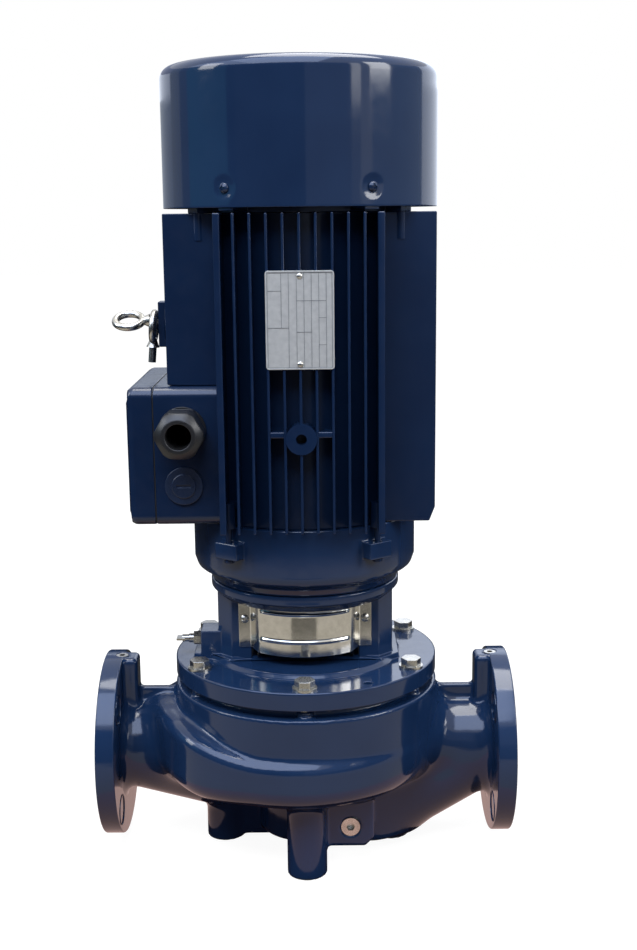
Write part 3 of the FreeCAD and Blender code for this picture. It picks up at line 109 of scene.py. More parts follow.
def surface(name, parts, **fixed):
    """Principled material: parts makes its colour, roughness and normal, fixed gives its plain values."""
    material = bpy.data.materials.new(name)
    tree = empty_tree(material)
    colour, roughness, normal = parts(tree)
    inputs = {"Base Color": colour, "Roughness": roughness, "Normal": normal, **fixed}
    shader = add(tree, "BsdfPrincipled", inputs)
    add(tree, "OutputMaterial", {"Surface": shader.outputs["BSDF"]})
    return material


def navy_enamel(name, dark, light, grain_mm, depth_mm, roughness):
    """Gloss navy enamel: a deep even blue, with a wet gloss that shows lamps with clear borders, broken up
    a little by the casting's skin below it."""
    def parts(tree):
        grain = bump(tree, noise(tree, grain_mm, detail=3.0), depth_mm)
        return (ramp(tree, noise(tree, size_mm=70.0), linear(dark), linear(light)),
                ramp(tree, noise(tree, size_mm=12.0), roughness * 0.8, roughness * 1.3),
                bump(tree, noise(tree, size_mm=9.0, detail=0.0), depth_mm * 1.6, grain))
    return surface(name, parts, IOR=1.5)


def metal(name, dark, light, roughness, grain_mm, depth_mm, metallic=1.0):
    """Bare metal: colour and roughness vary over a fine grain; below full metallic it is a milky anodised
    skin."""
    def parts(tree):
        grain = noise(tree, grain_mm, detail=4.0)
        return (ramp(tree, noise(tree, grain_mm * 9), linear(dark), linear(light)),
                ramp(tree, grain, roughness * 0.8, roughness * 1.2), bump(tree, grain, depth_mm))
    return surface(name, parts, Metallic=metallic)


def moulded(name, dark, light, roughness, grain_mm=0.9, depth_mm=0.02):
    """Moulded plastic, rubber, ceramic or carbon: an even colour with a fine moulded grain."""
    def parts(tree):
        grain = noise(tree, grain_mm, detail=3.0)
        return (ramp(tree, noise(tree, size_mm=25.0), linear(dark), linear(light)),
                ramp(tree, grain, roughness * 0.85, roughness * 1.15), bump(tree, grain, depth_mm))
    return surface(name, parts)


MATERIALS = {
    "navy_cast_paint": navy_enamel("navy_enamel_on_casting", "#142a4d", "#192f53", 2.4, 0.022, 0.11),
    "navy_sheet_paint": navy_enamel("navy_enamel_on_sheet", "#142747", "#182c4d", 5.0, 0.004, 0.09),
    "polished_stainless": metal("polished_stainless", "#c9c7c1", "#d6d4cf", 0.14, 0.8, 0.002),
    "plate_aluminium": metal("satin_aluminium", "#b9bcc0", "#c9ccd0", 0.34, 0.6, 0.004),
    "zinc_steel": metal("bright_zinc_plate", "#b7b4ac", "#cfccc4", 0.28, 0.9, 0.008),
    "bearing_steel": metal("ground_steel", "#a8a8aa", "#bababc", 0.18, 0.5, 0.002),
    "stainless_turned": metal("turned_stainless", "#b0afad", "#c2c1bf", 0.24, 0.5, 0.004),
    "cast_iron_bare": metal("machined_cast_iron", "#4a4a4c", "#5c5c5e", 0.5, 1.2, 0.02),
    "bronze": metal("machined_bronze", "#a5793f", "#bd9052", 0.3, 0.7, 0.004),
    "copper_coils": metal("varnished_copper", "#8f4f2c", "#aa6238", 0.35, 1.4, 0.05),
    "electrical_steel": metal("laminated_steel", "#6a6a6e", "#808085", 0.42, 0.6, 0.01),
    "gland_black": moulded("gland_polyamide", "#17181b", "#1e2024", 0.38),
    "plug_navy": moulded("painted_polyamide", "#15243f", "#1b2c4a", 0.3),
    "fan_plastic": moulded("fan_polypropylene", "#121213", "#191a1c", 0.5),
    "board_plastic": moulded("board_phenolic", "#5c2418", "#6e2c1e", 0.35),
    "rubber_black": moulded("nitrile_rubber", "#0d0d0e", "#141415", 0.62),
    "ceramic_white": moulded("lapped_ceramic", "#dcd8cd", "#e6e3da", 0.16, 0.4, 0.001),
    "carbon_face": moulded("carbon_graphite", "#141416", "#1c1c1f", 0.32, 0.5, 0.003),
}

PRINTED_PLATE = metal("printed_anodised_plate", "#aab0b6", "#b5bbc0", 0.42, 0.6, 0.003, metallic=0.25)
RULE_INK = moulded("printed_rule_ink", "#5f656d", "#6a7078", 0.5)
MOTOR_PAINT = navy_enamel("navy_enamel_on_motor", "#0c1f3e", "#102444", 3.0, 0.012, 0.2)

SLOT_OF = {part["node"]: part["material_slot"] for part in frame["record"]["subparts"]}
BODY_OF = {node: body for body, nodes in frame["record"]["behaviour"]["bodies"].items() for node in nodes}
for node, slot in SLOT_OF.items():
    mesh = frame["nodes"][node].data
    mesh.materials.clear()
    mesh.materials.append(MATERIALS[slot])


def new_piece(name, points, faces, slot, body="pump", material=None):
    """Mesh piece from arrays of points (millimetres) and faces, riding on a body, in its slot's own look or
    another material's."""
    mesh = bpy.data.meshes.new(name)
    mesh.from_pydata((points * MM).tolist(), [], faces.tolist() if isinstance(faces, np.ndarray) else faces)
    mesh.validate()
    mesh.materials.append(material or MATERIALS[slot])
    made = bpy.data.objects.new(name, mesh)
    bpy.context.scene.collection.objects.link(made)
    mesh.shade_smooth()
    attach(made, body)
    return made


def flat_shading_kept(piece, angle=50):
    """Smooth shading that stops at edges sharper than the angle and leans to the larger faces."""
    shell = bmesh.new()
    shell.from_mesh(piece.data)
    for edge in shell.edges:
        edge.smooth = len(edge.link_faces) != 2 or edge.calc_face_angle(0.0) < math.radians(angle)
    for face in shell.faces:
        face.smooth = True
    shell.to_mesh(piece.data)
    shell.free()
    made = piece.modifiers.new("even_shading", "WEIGHTED_NORMAL")
    made.keep_sharp = True


def keep_shape(piece):
    """Put the mesh that the modifiers give in the piece, and drop the modifiers."""
    view = bpy.context.evaluated_depsgraph_get()
    view.update()
    done = bpy.data.meshes.new_from_object(piece.evaluated_get(view))
    piece.modifiers.clear()
    old = piece.data
    piece.data = done
    bpy.data.meshes.remove(old)


def thicken(piece, sheet_mm):
    """Give a sheet its thickness, behind its shown side."""
    wall = piece.modifiers.new("sheet", "SOLIDIFY")
    wall.thickness = sheet_mm * MM
    wall.offset = -1


SHARP_ANGLE = 32


def rounded(piece, radius_mm, segments=2, angle=SHARP_ANGLE, weighted=False):
    """Round the piece's edges that are sharper than the angle, or the weighted ones, for good."""
    made = piece.modifiers.new("edge_radius", "BEVEL")
    made.width = radius_mm * MM
    made.segments = segments
    made.limit_method = "WEIGHT" if weighted else "ANGLE"
    made.angle_limit = math.radians(angle)
    made.use_clamp_overlap = False
    keep_shape(piece)
    flat_shading_kept(piece)


def soften(node, radius_mm, material=None, slot=None, shortest_mm=0.0):
    """Copy of a CAD node with its triangles merged into faces and its edges rounded, in the node's place.
    With a shortest length, only outer edges longer than it are rounded."""
    mesh = frame["nodes"][node].data.copy()
    shell = bmesh.new()
    shell.from_mesh(mesh)
    bmesh.ops.remove_doubles(shell, verts=shell.verts, dist=2e-6)
    bmesh.ops.dissolve_limit(shell, angle_limit=math.radians(0.8), verts=shell.verts, edges=shell.edges)
    if shortest_mm:
        weight = shell.edges.layers.float.new("bevel_weight_edge")
        for edge in shell.edges:
            angle = edge.calc_face_angle_signed(0.0) if len(edge.link_faces) == 2 else 0.0
            outer = angle > math.radians(SHARP_ANGLE)
            edge[weight] = float(outer and edge.calc_length() > shortest_mm * MM)
    shell.to_mesh(mesh)
    shell.free()
    mesh.name = node + "_soft"
    if material:
        mesh.materials.clear()
        mesh.materials.append(material)
    made = bpy.data.objects.new(node + "_soft", mesh)
    bpy.context.scene.collection.objects.link(made)
    rounded(made, radius_mm, weighted=shortest_mm > 0)
    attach(made, BODY_OF[node])
    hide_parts(node)


def grid_faces(rows, columns, closed=False):
    """Quads between neighbouring rows and columns of a grid; closed joins the last column to the first."""
    last = columns if closed else columns - 1
    row, column = np.meshgrid(np.arange(rows - 1), np.arange(last), indexing="ij")
    following = (column + 1) % columns
    corners = [row * columns + column, row * columns + following, (row + 1) * columns + following,
               (row + 1) * columns + column]
    return np.stack(corners, -1).reshape(-1, 4)


def turned_ring(profile, segments, centre):
    """Closed profile of (radius, x) carried round an axis along X: each point goes round its own circle."""
    profile = np.array(profile, float)
    angle = np.arange(segments) * 2 * math.pi / segments
    radius, along = profile[:, 0][:, None], profile[:, 1][:, None]
    ring = np.stack((along + 0 * angle, radius * np.cos(angle), radius * np.sin(angle)), -1)
    points = ring.reshape(-1, 3) + np.array(centre)
    rows = len(profile)
    faces = grid_faces(rows, segments, True)
    last = np.arange(segments)
    following = (last + 1) % segments
    closing = np.stack([(rows - 1) * segments + last, (rows - 1) * segments + following, following, last], 1)
    return points, np.concatenate([faces, closing])


def drill(base, way, radius, sides=40):
    """Closed cylinder (points in millimetres, faces) from a base point along a way."""
    base, way = np.array(base, float), np.array(way, float)
    along = way / np.linalg.norm(way)
    aside = np.cross(along, (0.0, 0.0, 1.0) if abs(along[2]) < 0.9 else (1.0, 0.0, 0.0))
    aside /= np.linalg.norm(aside)
    other = np.cross(along, aside)
    angle = np.arange(sides) * 2 * math.pi / sides
    circle = radius * (np.cos(angle)[:, None] * aside + np.sin(angle)[:, None] * other)
    points = np.concatenate([base + circle, base + way + circle])
    first = np.arange(sides)
    following = (first + 1) % sides
    faces = np.stack([first, following, following + sides, first + sides], 1).tolist()
    faces += [first[::-1].tolist(), (first + sides).tolist()]
    return points, faces


def bore_holes(piece, drills):
    """Cut closed tool shapes out of a piece's mesh for good."""
    points, faces, start = [], [], 0
    for tool_points, tool_faces in drills:
        points.append(tool_points)
        faces += [[v + start for v in face] for face in tool_faces]
        start += len(tool_points)
    mesh = bpy.data.meshes.new("drills")
    mesh.from_pydata((np.concatenate(points) * MM).tolist(), [], faces)
    tool = bpy.data.objects.new("drills", mesh)
    bpy.context.scene.collection.objects.link(tool)
    cut = piece.modifiers.new("holes", "BOOLEAN")
    cut.operation = "DIFFERENCE"
    cut.solver = "EXACT"
    cut.use_self = True
    cut.object = tool
    keep_shape(piece)
    bpy.data.objects.remove(tool)
    bpy.data.meshes.remove(mesh)


def s_curve(share):
    """Smooth step from 0 to 1, level at both ends."""
    share = np.clip(share, 0, 1)
    return share * share * (3 - 2 * share)


def smooth_union(a, b, k):
    """Union of two distance fields with a fillet: the smaller, lowered where they differ by less than k."""
    h = np.clip(0.5 + 0.5 * (b - a) / k, 0, 1)
    return b + (a - b) * h - k * h * (1 - h)


def pill(x, y, z, start, end, radius):
    """Distance to a round bar between two points: distance to its middle line less its radius."""
    a, b = np.array(start), np.array(end)
    d = b - a
    x, y, z = x - a[0], y - a[1], z - a[2]
    t = np.clip((x * d[0] + y * d[1] + z * d[2]) / (d @ d), 0, 1)
    return np.sqrt((x - d[0] * t) ** 2 + (y - d[1] * t) ** 2 + (z - d[2] * t) ** 2) - radius


def block(x, y, z, low, high, edge):
    """Distance to a block with rounded edges: the outside distance to the block shrunk by the radius."""
    inner = []
    for value, a, b in zip((x, y, z), low, high):
        inner.append(np.abs(value - (a + b) / 2) - (b - a) / 2 + edge)
    outside = np.sqrt(sum(np.maximum(q, 0) ** 2 for q in inner))
    return outside + np.minimum(np.maximum.reduce(inner), 0) - edge


def rounded_pair(a, b, edge):
    """Overlap of two half fields with a rounded edge: both pushed in, joined by their outside distance."""
    a, b = a + edge, b + edge
    outside = np.sqrt(np.maximum(a, 0) ** 2 + np.maximum(b, 0) ** 2)
    return np.minimum(np.maximum(a, b), 0) + outside - edge


# Casing in millimetres: two level ports, the suction on the right, and flange faces SPAN from the pump axis
PORT_Z = 112.0
SPAN = 220.0
BORE_R = 40.0
BORE_PLAY = 0.3
FLANGE_R = 100.0
FLANGE_THICK = 20.0
FLANGE_EDGE = 1.6
FLANGE_PCD = 160.0
FLANGE_HOLE_R = 9.5
DRILL_OVER = 5.0
SPOTFACE_R = 16.0
SPOTFACE_FROM = 7.0
SPOTFACE_DEPTH = 1.0
PLATE_SINK = 2.5
PLATE_END = 213.0
BODY_END = 214.0

NECK_R = 46.0
NECK_START = 40.0
NECK_FILLET = 6.0
SLOPE_X = 202.0
SUCTION_BEND = (112.0, 0.0, 58.0)
SUCTION_PASSAGE = (193.0, 0.0, PORT_Z)
SUCTION_PASSAGE_R = 36.0
DISCHARGE_BEND = (-100.0, 0.0, 85.0)
DISCHARGE_PASSAGE = (-200.0, 0.0, PORT_Z)
DISCHARGE_PASSAGE_R = 38.0

RIM_R = 142.0
STEP_Z = 188.0
STEP_EDGE = 1.6
DRUM_FLOOR = 77.0
DRUM_CORNER = 48.0
LAND_R = 127.0
LAND_EDGE = 0.8
TOP_Z = 198.0
TOP_ROOT_Z = 182.0
HEAD_BOLT_CIRCLE = 128.0
HEAD_BOSS_R = 8.5
HEAD_BOSS_Z = 195.0

SCROLL_LOW = 88.0
SCROLL_UNDER = 27.0
SHOULDER_FRONT = 144.0
SHOULDER_LEFT = 165.0
SHOULDER_R = 12.0
BULGE_FRONT = 7.3
BULGE_SPREAD = 3.0
BULGE_LEFT = 23.0
BULGE_SINK = 5.0
GROW_FROM, GROW_OVER = 20, 30
RISE_FROM, RISE_OVER = 18, 44
EASE_FROM, EASE_OVER = 90, 80
DRIFT_FROM, DRIFT_TO = -56, 30
DRIFT_RIGHT, DRIFT_LEFT = 0.167, 0.1

PAN_R = 55.0
PAN_REACH = 64.0
PAN_LOW = 13.0
PAN_HIGH = 90.0
PAN_EDGE = 6.0

FOOT_R = 21.0
FOOT_CIRCLE = 92.0
FOOT_HIGH = 96.0
FOOT_EDGE = 1.5
RIB_HALF = 14.0
RIB_END = 30.0
RIB_LOW = 4.0

WEB_START = 100.0
WEB_HALF = 4.0
WEB_LOW = 142.0
WEB_HIGH = 175.0

GAUGE_X = 202.0
GAUGE_FLOOR = 190.0
GAUGE_HOLE_R = 6.5
GAUGE_PAD_HALF = 14.5
GAUGE_PAD_IN = 184.0
GAUGE_PAD_LOW = 132.0
GAUGE_PAD_HIGH = 210.4

DRAIN_ROOT = 12.0
DRAIN_X = 46.0
DRAIN_HALF = 25.0
DRAIN_FRONT = -92.0
DRAIN_BACK = -20.0
DRAIN_LOW = 28.0
DRAIN_HIGH = 96.0
DRAIN_CORNER = 7.0
DRAIN_Z = 50.0
DRAIN_HOLE_R = 10.0
DRAIN_DEEP = 14.0

FILLETS = {"scroll": 5.0, "pan": 14.0, "necks": 24.0, "web": 7.0, "post": 9.0, "rib": 6.0, "drain": 5.0,
           "flange": 16.0, "pad": 6.0}


def drum(x, y, z):
    """Distance to the drum: an upright wall with a widely rounded lower corner, flat at the step on top."""
    r = np.hypot(x, y)
    corner_r = r - (RIM_R - DRUM_CORNER)
    corner_z = DRUM_FLOOR + DRUM_CORNER - z
    in_corner = (corner_r > 0) & (corner_z > 0)
    bowl = np.where(in_corner, np.hypot(corner_r, corner_z) - DRUM_CORNER,
                    np.maximum(r - RIM_R, DRUM_FLOOR - z))
    return rounded_pair(bowl, z - STEP_Z, STEP_EDGE)


def scroll(x, y, z):
    """Distance to the scroll: an upright wall about the pump axis, rounded tightly at its shoulder and
    widely underneath. It stands out of the drum by a bulge that grows evenly from the front right, then with
    an S curve towards the left neck, where the shoulder rises too; behind the neck it eases back into the
    drum. Angles are in degrees from the front, the left side positive."""
    angle = np.degrees(np.arctan2(-x, -y))
    drift = np.where(angle < 0, DRIFT_RIGHT, DRIFT_LEFT) * np.clip(angle, DRIFT_FROM, DRIFT_TO)
    growth = (BULGE_LEFT - BULGE_FRONT - BULGE_SPREAD) * s_curve((angle - GROW_FROM) / GROW_OVER)
    behind = BULGE_LEFT - (BULGE_LEFT + BULGE_SINK) * s_curve((angle - EASE_FROM) / EASE_OVER)
    bulge = np.where(angle <= EASE_FROM, BULGE_FRONT + drift + growth, behind)
    out = np.hypot(x, y) - RIM_R - bulge
    shoulder = SHOULDER_FRONT + (SHOULDER_LEFT - SHOULDER_FRONT) * s_curve((angle - RISE_FROM) / RISE_OVER)
    upper = rounded_pair(out, z - shoulder, SHOULDER_R)
    return np.maximum(upper, rounded_pair(out, SCROLL_LOW - z, SCROLL_UNDER))


def suction_pan(x, y, z):
    """Distance to the pan under the drum: a slot shape that reaches from the axis towards the suction."""
    wall = pill(x, y, 0 * z, (0, 0, 0), (PAN_REACH, 0, 0), PAN_R)
    return rounded_pair(np.maximum(wall, z - PAN_HIGH), PAN_LOW - z, PAN_EDGE)


def necks(x, y, z):
    """Distance to the necks: behind each flange a level pipe, and a sloping one to the pan or the scroll."""
    level = np.maximum(np.hypot(y, z - PORT_Z) - NECK_R, NECK_START - np.abs(x))
    slope = np.where(x > 0, pill(x, y, z, (SLOPE_X, 0, PORT_Z), SUCTION_BEND, NECK_R),
                     pill(x, y, z, (-SLOPE_X, 0, PORT_Z), DISCHARGE_BEND, NECK_R))
    pipe = np.maximum(smooth_union(level, slope, NECK_FILLET), np.abs(x) - BODY_END)
    return np.maximum(pipe, PAN_LOW - z)


def foot_posts(x, y, z):
    """Distances to the four round posts that the pump stands on."""
    for angle in np.radians((0, 90, 180, 270)):
        wall = np.hypot(x - FOOT_CIRCLE * math.sin(angle), y + FOOT_CIRCLE * math.cos(angle)) - FOOT_R
        yield np.maximum(rounded_pair(wall, -z, FOOT_EDGE), z - FOOT_HIGH)


def drain_block(x, y, z):
    """Distance to the block of the drain plug, its lower right corner cut off at 45 degrees."""
    right = DRAIN_X + DRAIN_HALF
    body = block(x, y, z, (DRAIN_ROOT, DRAIN_FRONT, DRAIN_LOW), (right, DRAIN_BACK, DRAIN_HIGH), 2.5)
    return np.maximum(body, ((x - right) - (z - DRAIN_LOW)) / math.sqrt(2) + DRAIN_CORNER)


def flange_roots(x, y, z):
    """Distance to two plates inside the flanges, which give the necks their fillets."""
    wall = np.hypot(y, z - PORT_Z) - FLANGE_R + PLATE_SINK
    plate = rounded_pair(wall, SPAN - FLANGE_THICK + 0.4 - np.abs(x), 0.1)
    return np.maximum(plate, np.abs(x) - PLATE_END)


def casing_parts(x, y, z):
    """Name and distance of each part that joins the drum with a fillet."""
    across = np.abs(x)
    yield "scroll", scroll(x, y, z)
    yield "pan", suction_pan(x, y, z)
    yield "necks", necks(x, y, z)
    yield "web", block(across, y, z, (WEB_START, -WEB_HALF, WEB_LOW), (GAUGE_X, WEB_HALF, WEB_HIGH), 2.0)
    for post in foot_posts(x, y, z):
        yield "post", post
    yield "rib", block(x, y, z, (-FOOT_CIRCLE, -RIB_HALF, RIB_LOW), (-RIB_END, RIB_HALF, PAN_HIGH), 4.0)
    yield "drain", drain_block(x, y, z)
    yield "flange", flange_roots(x, y, z)
    yield "pad", block(across, y, z, (GAUGE_PAD_IN, -GAUGE_PAD_HALF, GAUGE_PAD_LOW),
                       (SPAN, GAUGE_PAD_HALF, GAUGE_PAD_HIGH), 5.0)


def casing_top(x, y, z):
    """Distance to the land that the pump head sits on and to the bosses of its six bolts."""
    top = rounded_pair(np.hypot(x, y) - LAND_R, z - TOP_Z, LAND_EDGE)
    for angle in np.radians(np.arange(0, 360, 60)):
        wall = np.hypot(x - HEAD_BOLT_CIRCLE * math.sin(angle), y + HEAD_BOLT_CIRCLE * math.cos(angle))
        top = np.minimum(top, np.maximum(wall - HEAD_BOSS_R, z - HEAD_BOSS_Z))
    return np.maximum(top, TOP_ROOT_Z - z)


def passages(x, y, z):
    """Distances to what is cut away: bores, sloping passages, gauge holes and the drain hole."""
    across = np.abs(x)
    yield np.maximum(np.hypot(y, z - PORT_Z) - BORE_R - BORE_PLAY, SPAN - FLANGE_THICK - across)
    yield np.where(x > 0, pill(x, y, z, SUCTION_PASSAGE, SUCTION_BEND, SUCTION_PASSAGE_R),
                   pill(x, y, z, DISCHARGE_PASSAGE, DISCHARGE_BEND, DISCHARGE_PASSAGE_R))
    yield np.maximum(np.hypot(across - GAUGE_X, y) - GAUGE_HOLE_R, GAUGE_FLOOR - z)
    yield np.maximum(np.hypot(x - DRAIN_X, z - DRAIN_Z) - DRAIN_HOLE_R, y - DRAIN_FRONT - DRAIN_DEEP)


def casing_field(x, y, z):
    """Distance to the casting: the drum and its parts with fillets, ended inside the flanges, with the land
    and bosses on top, less the passages and what is under the floor."""
    body = drum(x, y, z)
    for name, part in casing_parts(x, y, z):
        body = smooth_union(body, part, FILLETS[name])
    body = np.maximum(body, np.abs(x) - BODY_END)
    body = np.minimum(body, casing_top(x, y, z))
    for cut in passages(x, y, z):
        body = np.maximum(body, -cut)
    return np.maximum(body, -z)


def slide_to_level(field, points, step, passes=4):
    """Points moved along the field's slope until they lie on its zero level."""
    small = step * 0.05
    for _ in range(passes):
        x, y, z = points.T
        here = field(x, y, z)
        slope = np.stack([field(x + small, y, z) - here, field(x, y + small, z) - here,
                          field(x, y, z + small) - here], 1) / small
        size = np.maximum((slope ** 2).sum(1), 0.25)
        move = np.clip(here / size, -step / 2, step / 2)
        points = points - slope * move[:, None]
    return points


def level_surface(field, low, high, step):
    """Points and quads of a field's zero level: one point in each grid cell that the level crosses, at the
    mean of its edge crossings, one quad across each crossed edge, then points slid along the slope."""
    axes = [np.arange(a, b + step, step) for a, b in zip(low, high)]
    values = field(*np.meshgrid(*axes, indexing="ij"))
    inside = values < 0
    cells = tuple(n - 1 for n in values.shape)
    total = [np.zeros(cells) for _ in range(3)]
    count = np.zeros(cells)
    crossings = []
    for axis in range(3):
        first = [slice(None)] * 3
        second = [slice(None)] * 3
        first[axis], second[axis] = slice(0, -1), slice(1, None)
        a, b = values[tuple(first)], values[tuple(second)]
        cross = (a < 0) != (b < 0)
        share = np.where(cross, a / np.where(cross, a - b, 1), 0)
        others = [n for n in range(3) if n != axis]
        crossings.append((others, cross, inside[tuple(first)]))
        for near in (0, 1):
            for far in (0, 1):
                part = [slice(None)] * 3
                part[others[0]] = slice(near, near + cells[others[0]])
                part[others[1]] = slice(far, far + cells[others[1]])
                here = cross[tuple(part)]
                count += here
                total[axis] += share[tuple(part)]
                total[others[0]] += here * near
                total[others[1]] += here * far
    used = np.nonzero(count)
    index = np.full(cells, -1)
    index[used] = np.arange(len(used[0]))
    means = [axes[n][0] + step * (used[n] + total[n][used] / count[used]) for n in range(3)]
    quads = []
    for axis, (others, cross, starts_inside) in enumerate(crossings):
        spot = np.nonzero(cross)
        keep = np.all([(spot[n] > 0) & (spot[n] < cells[n]) for n in others], axis=0)
        spot = [v[keep] for v in spot]
        flip = starts_inside[tuple(spot)] == (axis == 1)
        ring = []
        for near, far in ((-1, -1), (0, -1), (0, 0), (-1, 0)):
            cell = list(spot)
            cell[others[0]] = spot[others[0]] + near
            cell[others[1]] = spot[others[1]] + far
            ring.append(index[tuple(cell)])
        ring = np.stack(ring, 1)
        ring[flip] = ring[flip][:, ::-1]
        quads.append(ring)
    return slide_to_level(field, np.stack(means, 1), step), np.concatenate(quads)


CASING_GRID_LOW = (-217, -168, -4)
CASING_GRID_HIGH = (217, 168, 215)
CASING_GRID_STEP = 2.7


def flange_drills(side):
    """Tool shapes for one flange: four bolt holes with spot faces behind them, and the gauge hole."""
    back = side * (SPAN - FLANGE_THICK)
    hole = side * (FLANGE_THICK + 2 * DRILL_OVER)
    spot = side * (SPOTFACE_FROM + SPOTFACE_DEPTH)
    tools = []
    for angle in (45, 135, 225, 315):
        y = FLANGE_PCD / 2 * math.cos(math.radians(angle))
        z = PORT_Z + FLANGE_PCD / 2 * math.sin(math.radians(angle))
        tools.append(drill((back - side * DRILL_OVER, y, z), (hole, 0, 0), FLANGE_HOLE_R))
        tools.append(drill((back - side * SPOTFACE_FROM, y, z), (spot, 0, 0), SPOTFACE_R))
    tools.append(drill((side * GAUGE_X, 0, GAUGE_FLOOR), (0, 0, 30), GAUGE_HOLE_R))
    return tools


def port_flange(name, side):
    """Flange of one port: a turned ring with its holes drilled and its edges rounded."""
    inner, outer = side * (SPAN - FLANGE_THICK), side * SPAN
    profile = [(BORE_R, inner), (FLANGE_R, inner), (FLANGE_R, outer), (BORE_R, outer)]
    points, faces = turned_ring(profile[::side], 144, (0, 0, PORT_Z))
    ring = new_piece(name, points, faces, "navy_cast_paint")
    bore_holes(ring, flange_drills(side))
    rounded(ring, FLANGE_EDGE, 3)
    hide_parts("pump_casing")


def casing():
    """The casting's blended body and its two port flanges."""
    points, quads = level_surface(casing_field, CASING_GRID_LOW, CASING_GRID_HIGH, CASING_GRID_STEP)
    body = new_piece("casing_body", points, quads, "navy_cast_paint")
    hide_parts("pump_casing")
    port_flange("discharge_flange", -1)
    port_flange("suction_flange", 1)


# Fan cover in millimetres, its grille as rings of slots between straight spokes
HOOD_R = 140.0
HOOD_LOW = 691.0
HOOD_HIGH = 829.0
HOOD_EDGE = 12.0
HOOD_SHEET = 2.0
SCREW_HIGH = 709.0
SCREW_ANGLES = (-30, 30, 150, 210)
DISH_R = 7.0
DISH_SLOPE = 5.0
DISH_DEPTH = 1.0
SPOKES = 8
SPOKE_HALF = 5.0
SECTOR_COLUMNS = 32
SLOTS = [(24 + 14 * i, 32 + 14 * i) for i in range(6)]


def hood_section():
    """Radii and heights of the fan cover's section: across the top, round its edge, down the wall."""
    bend_r, bend_z = HOOD_R - HOOD_EDGE, HOOD_HIGH - HOOD_EDGE
    flat = [0.5, 8, 16] + [r for slot in SLOTS for r in slot] + [108, 116, 122, bend_r]
    turn = np.radians(np.linspace(0, 90, 12)[1:])
    down = np.linspace(bend_z, HOOD_LOW, 52)[1:]
    radius = np.concatenate([flat, bend_r + HOOD_EDGE * np.sin(turn), np.full(len(down), HOOD_R)])
    height = np.concatenate([np.full(len(flat), HOOD_HIGH), bend_z + HOOD_EDGE * np.cos(turn), down])
    return radius, height


def hood():
    """Fan cover: a sheet swept round the axis from the top's middle, over its rounded edge, down the wall.
    Across the top, eight sectors have slots between straight spokes; the wall is dished round each screw."""
    radius, height = hood_section()
    sector_angle = 360 / SPOKES
    share = np.linspace(0, 1, SECTOR_COLUMNS - 1)
    slot_radius = np.clip(radius, SLOTS[0][0], SLOTS[-1][1])
    edge = np.degrees(np.arcsin(np.minimum(SPOKE_HALF / slot_radius, 1)))[:, None]
    sector = np.concatenate([0 * edge, edge + (sector_angle - 2 * edge) * share], 1)
    angle = np.radians(np.concatenate([sector + sector_angle * k for k in range(SPOKES)], 1))
    columns = angle.shape[1]
    wide = np.repeat(radius[:, None], columns, 1)
    high = np.repeat(height[:, None], columns, 1)
    for place in SCREW_ANGLES:
        off = np.angle(np.exp(1j * (angle - math.radians(place - 90)))) * HOOD_R
        reach = np.hypot(off, high - SCREW_HIGH)
        dish = 1 - s_curve((reach - DISH_R) / DISH_SLOPE)
        wide = wide - DISH_DEPTH * dish * (height < HOOD_HIGH - HOOD_EDGE)[:, None]
    points = np.stack([wide * np.cos(angle), wide * np.sin(angle), high], -1).reshape(-1, 3)
    faces = grid_faces(len(radius), columns, True)[:, ::-1]
    row = np.repeat(np.arange(len(radius) - 1), columns)
    column = np.tile(np.arange(columns), len(radius) - 1) % SECTOR_COLUMNS
    in_slot = np.isin(radius[row], [start for start, _ in SLOTS])
    open_cell = in_slot & (column >= 1) & (column < SECTOR_COLUMNS - 1)
    cap = list(range(columns))
    made = new_piece("hood", points, faces[~open_cell].tolist() + [cap], "navy_sheet_paint")
    thicken(made, HOOD_SHEET)
    rounded(made, 0.5, 2, 50)
    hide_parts("fan_cover")


# Coupling guard in millimetres: an arc between two tabs that are screwed to the columns' faces
GUARD_R = 78.0
GUARD_HALF = 48.0
GUARD_LOW = 233.0
GUARD_HIGH = 298.0
GUARD_SHEET = 1.2
COLUMN_X = 57.0
COLUMN_Y = 46.05
TAB = 13.0
TAB_INSET = 2.0
BEADS = (249.0, 278.5)
BEAD_RISE = 1.3
BEAD_HALF = 1.2


def guard_plan():
    """Plan line of the guard: tab, fold, arc, fold and tab."""
    depth = math.sqrt(GUARD_R ** 2 - GUARD_HALF ** 2)
    reach = math.asin(GUARD_HALF / GUARD_R)
    arc = np.linspace(-reach, reach, 73)
    face = COLUMN_Y + GUARD_SHEET
    left = np.array([(-COLUMN_X - TAB, -face), (-COLUMN_X - TAB / 2, -face), (-COLUMN_X - 1.5, -face),
                     (-COLUMN_X - 0.4, -face - 0.3), (-COLUMN_X + 0.4, -face - 1.4),
                     (-GUARD_HALF - 1.0, -depth + 1.2), (-GUARD_HALF - 0.35, -depth + 0.2)])
    middle = np.stack([GUARD_R * np.sin(arc), -GUARD_R * np.cos(arc)], 1)
    return np.concatenate([left, middle[1:-1], left[::-1] * (-1, 1)])


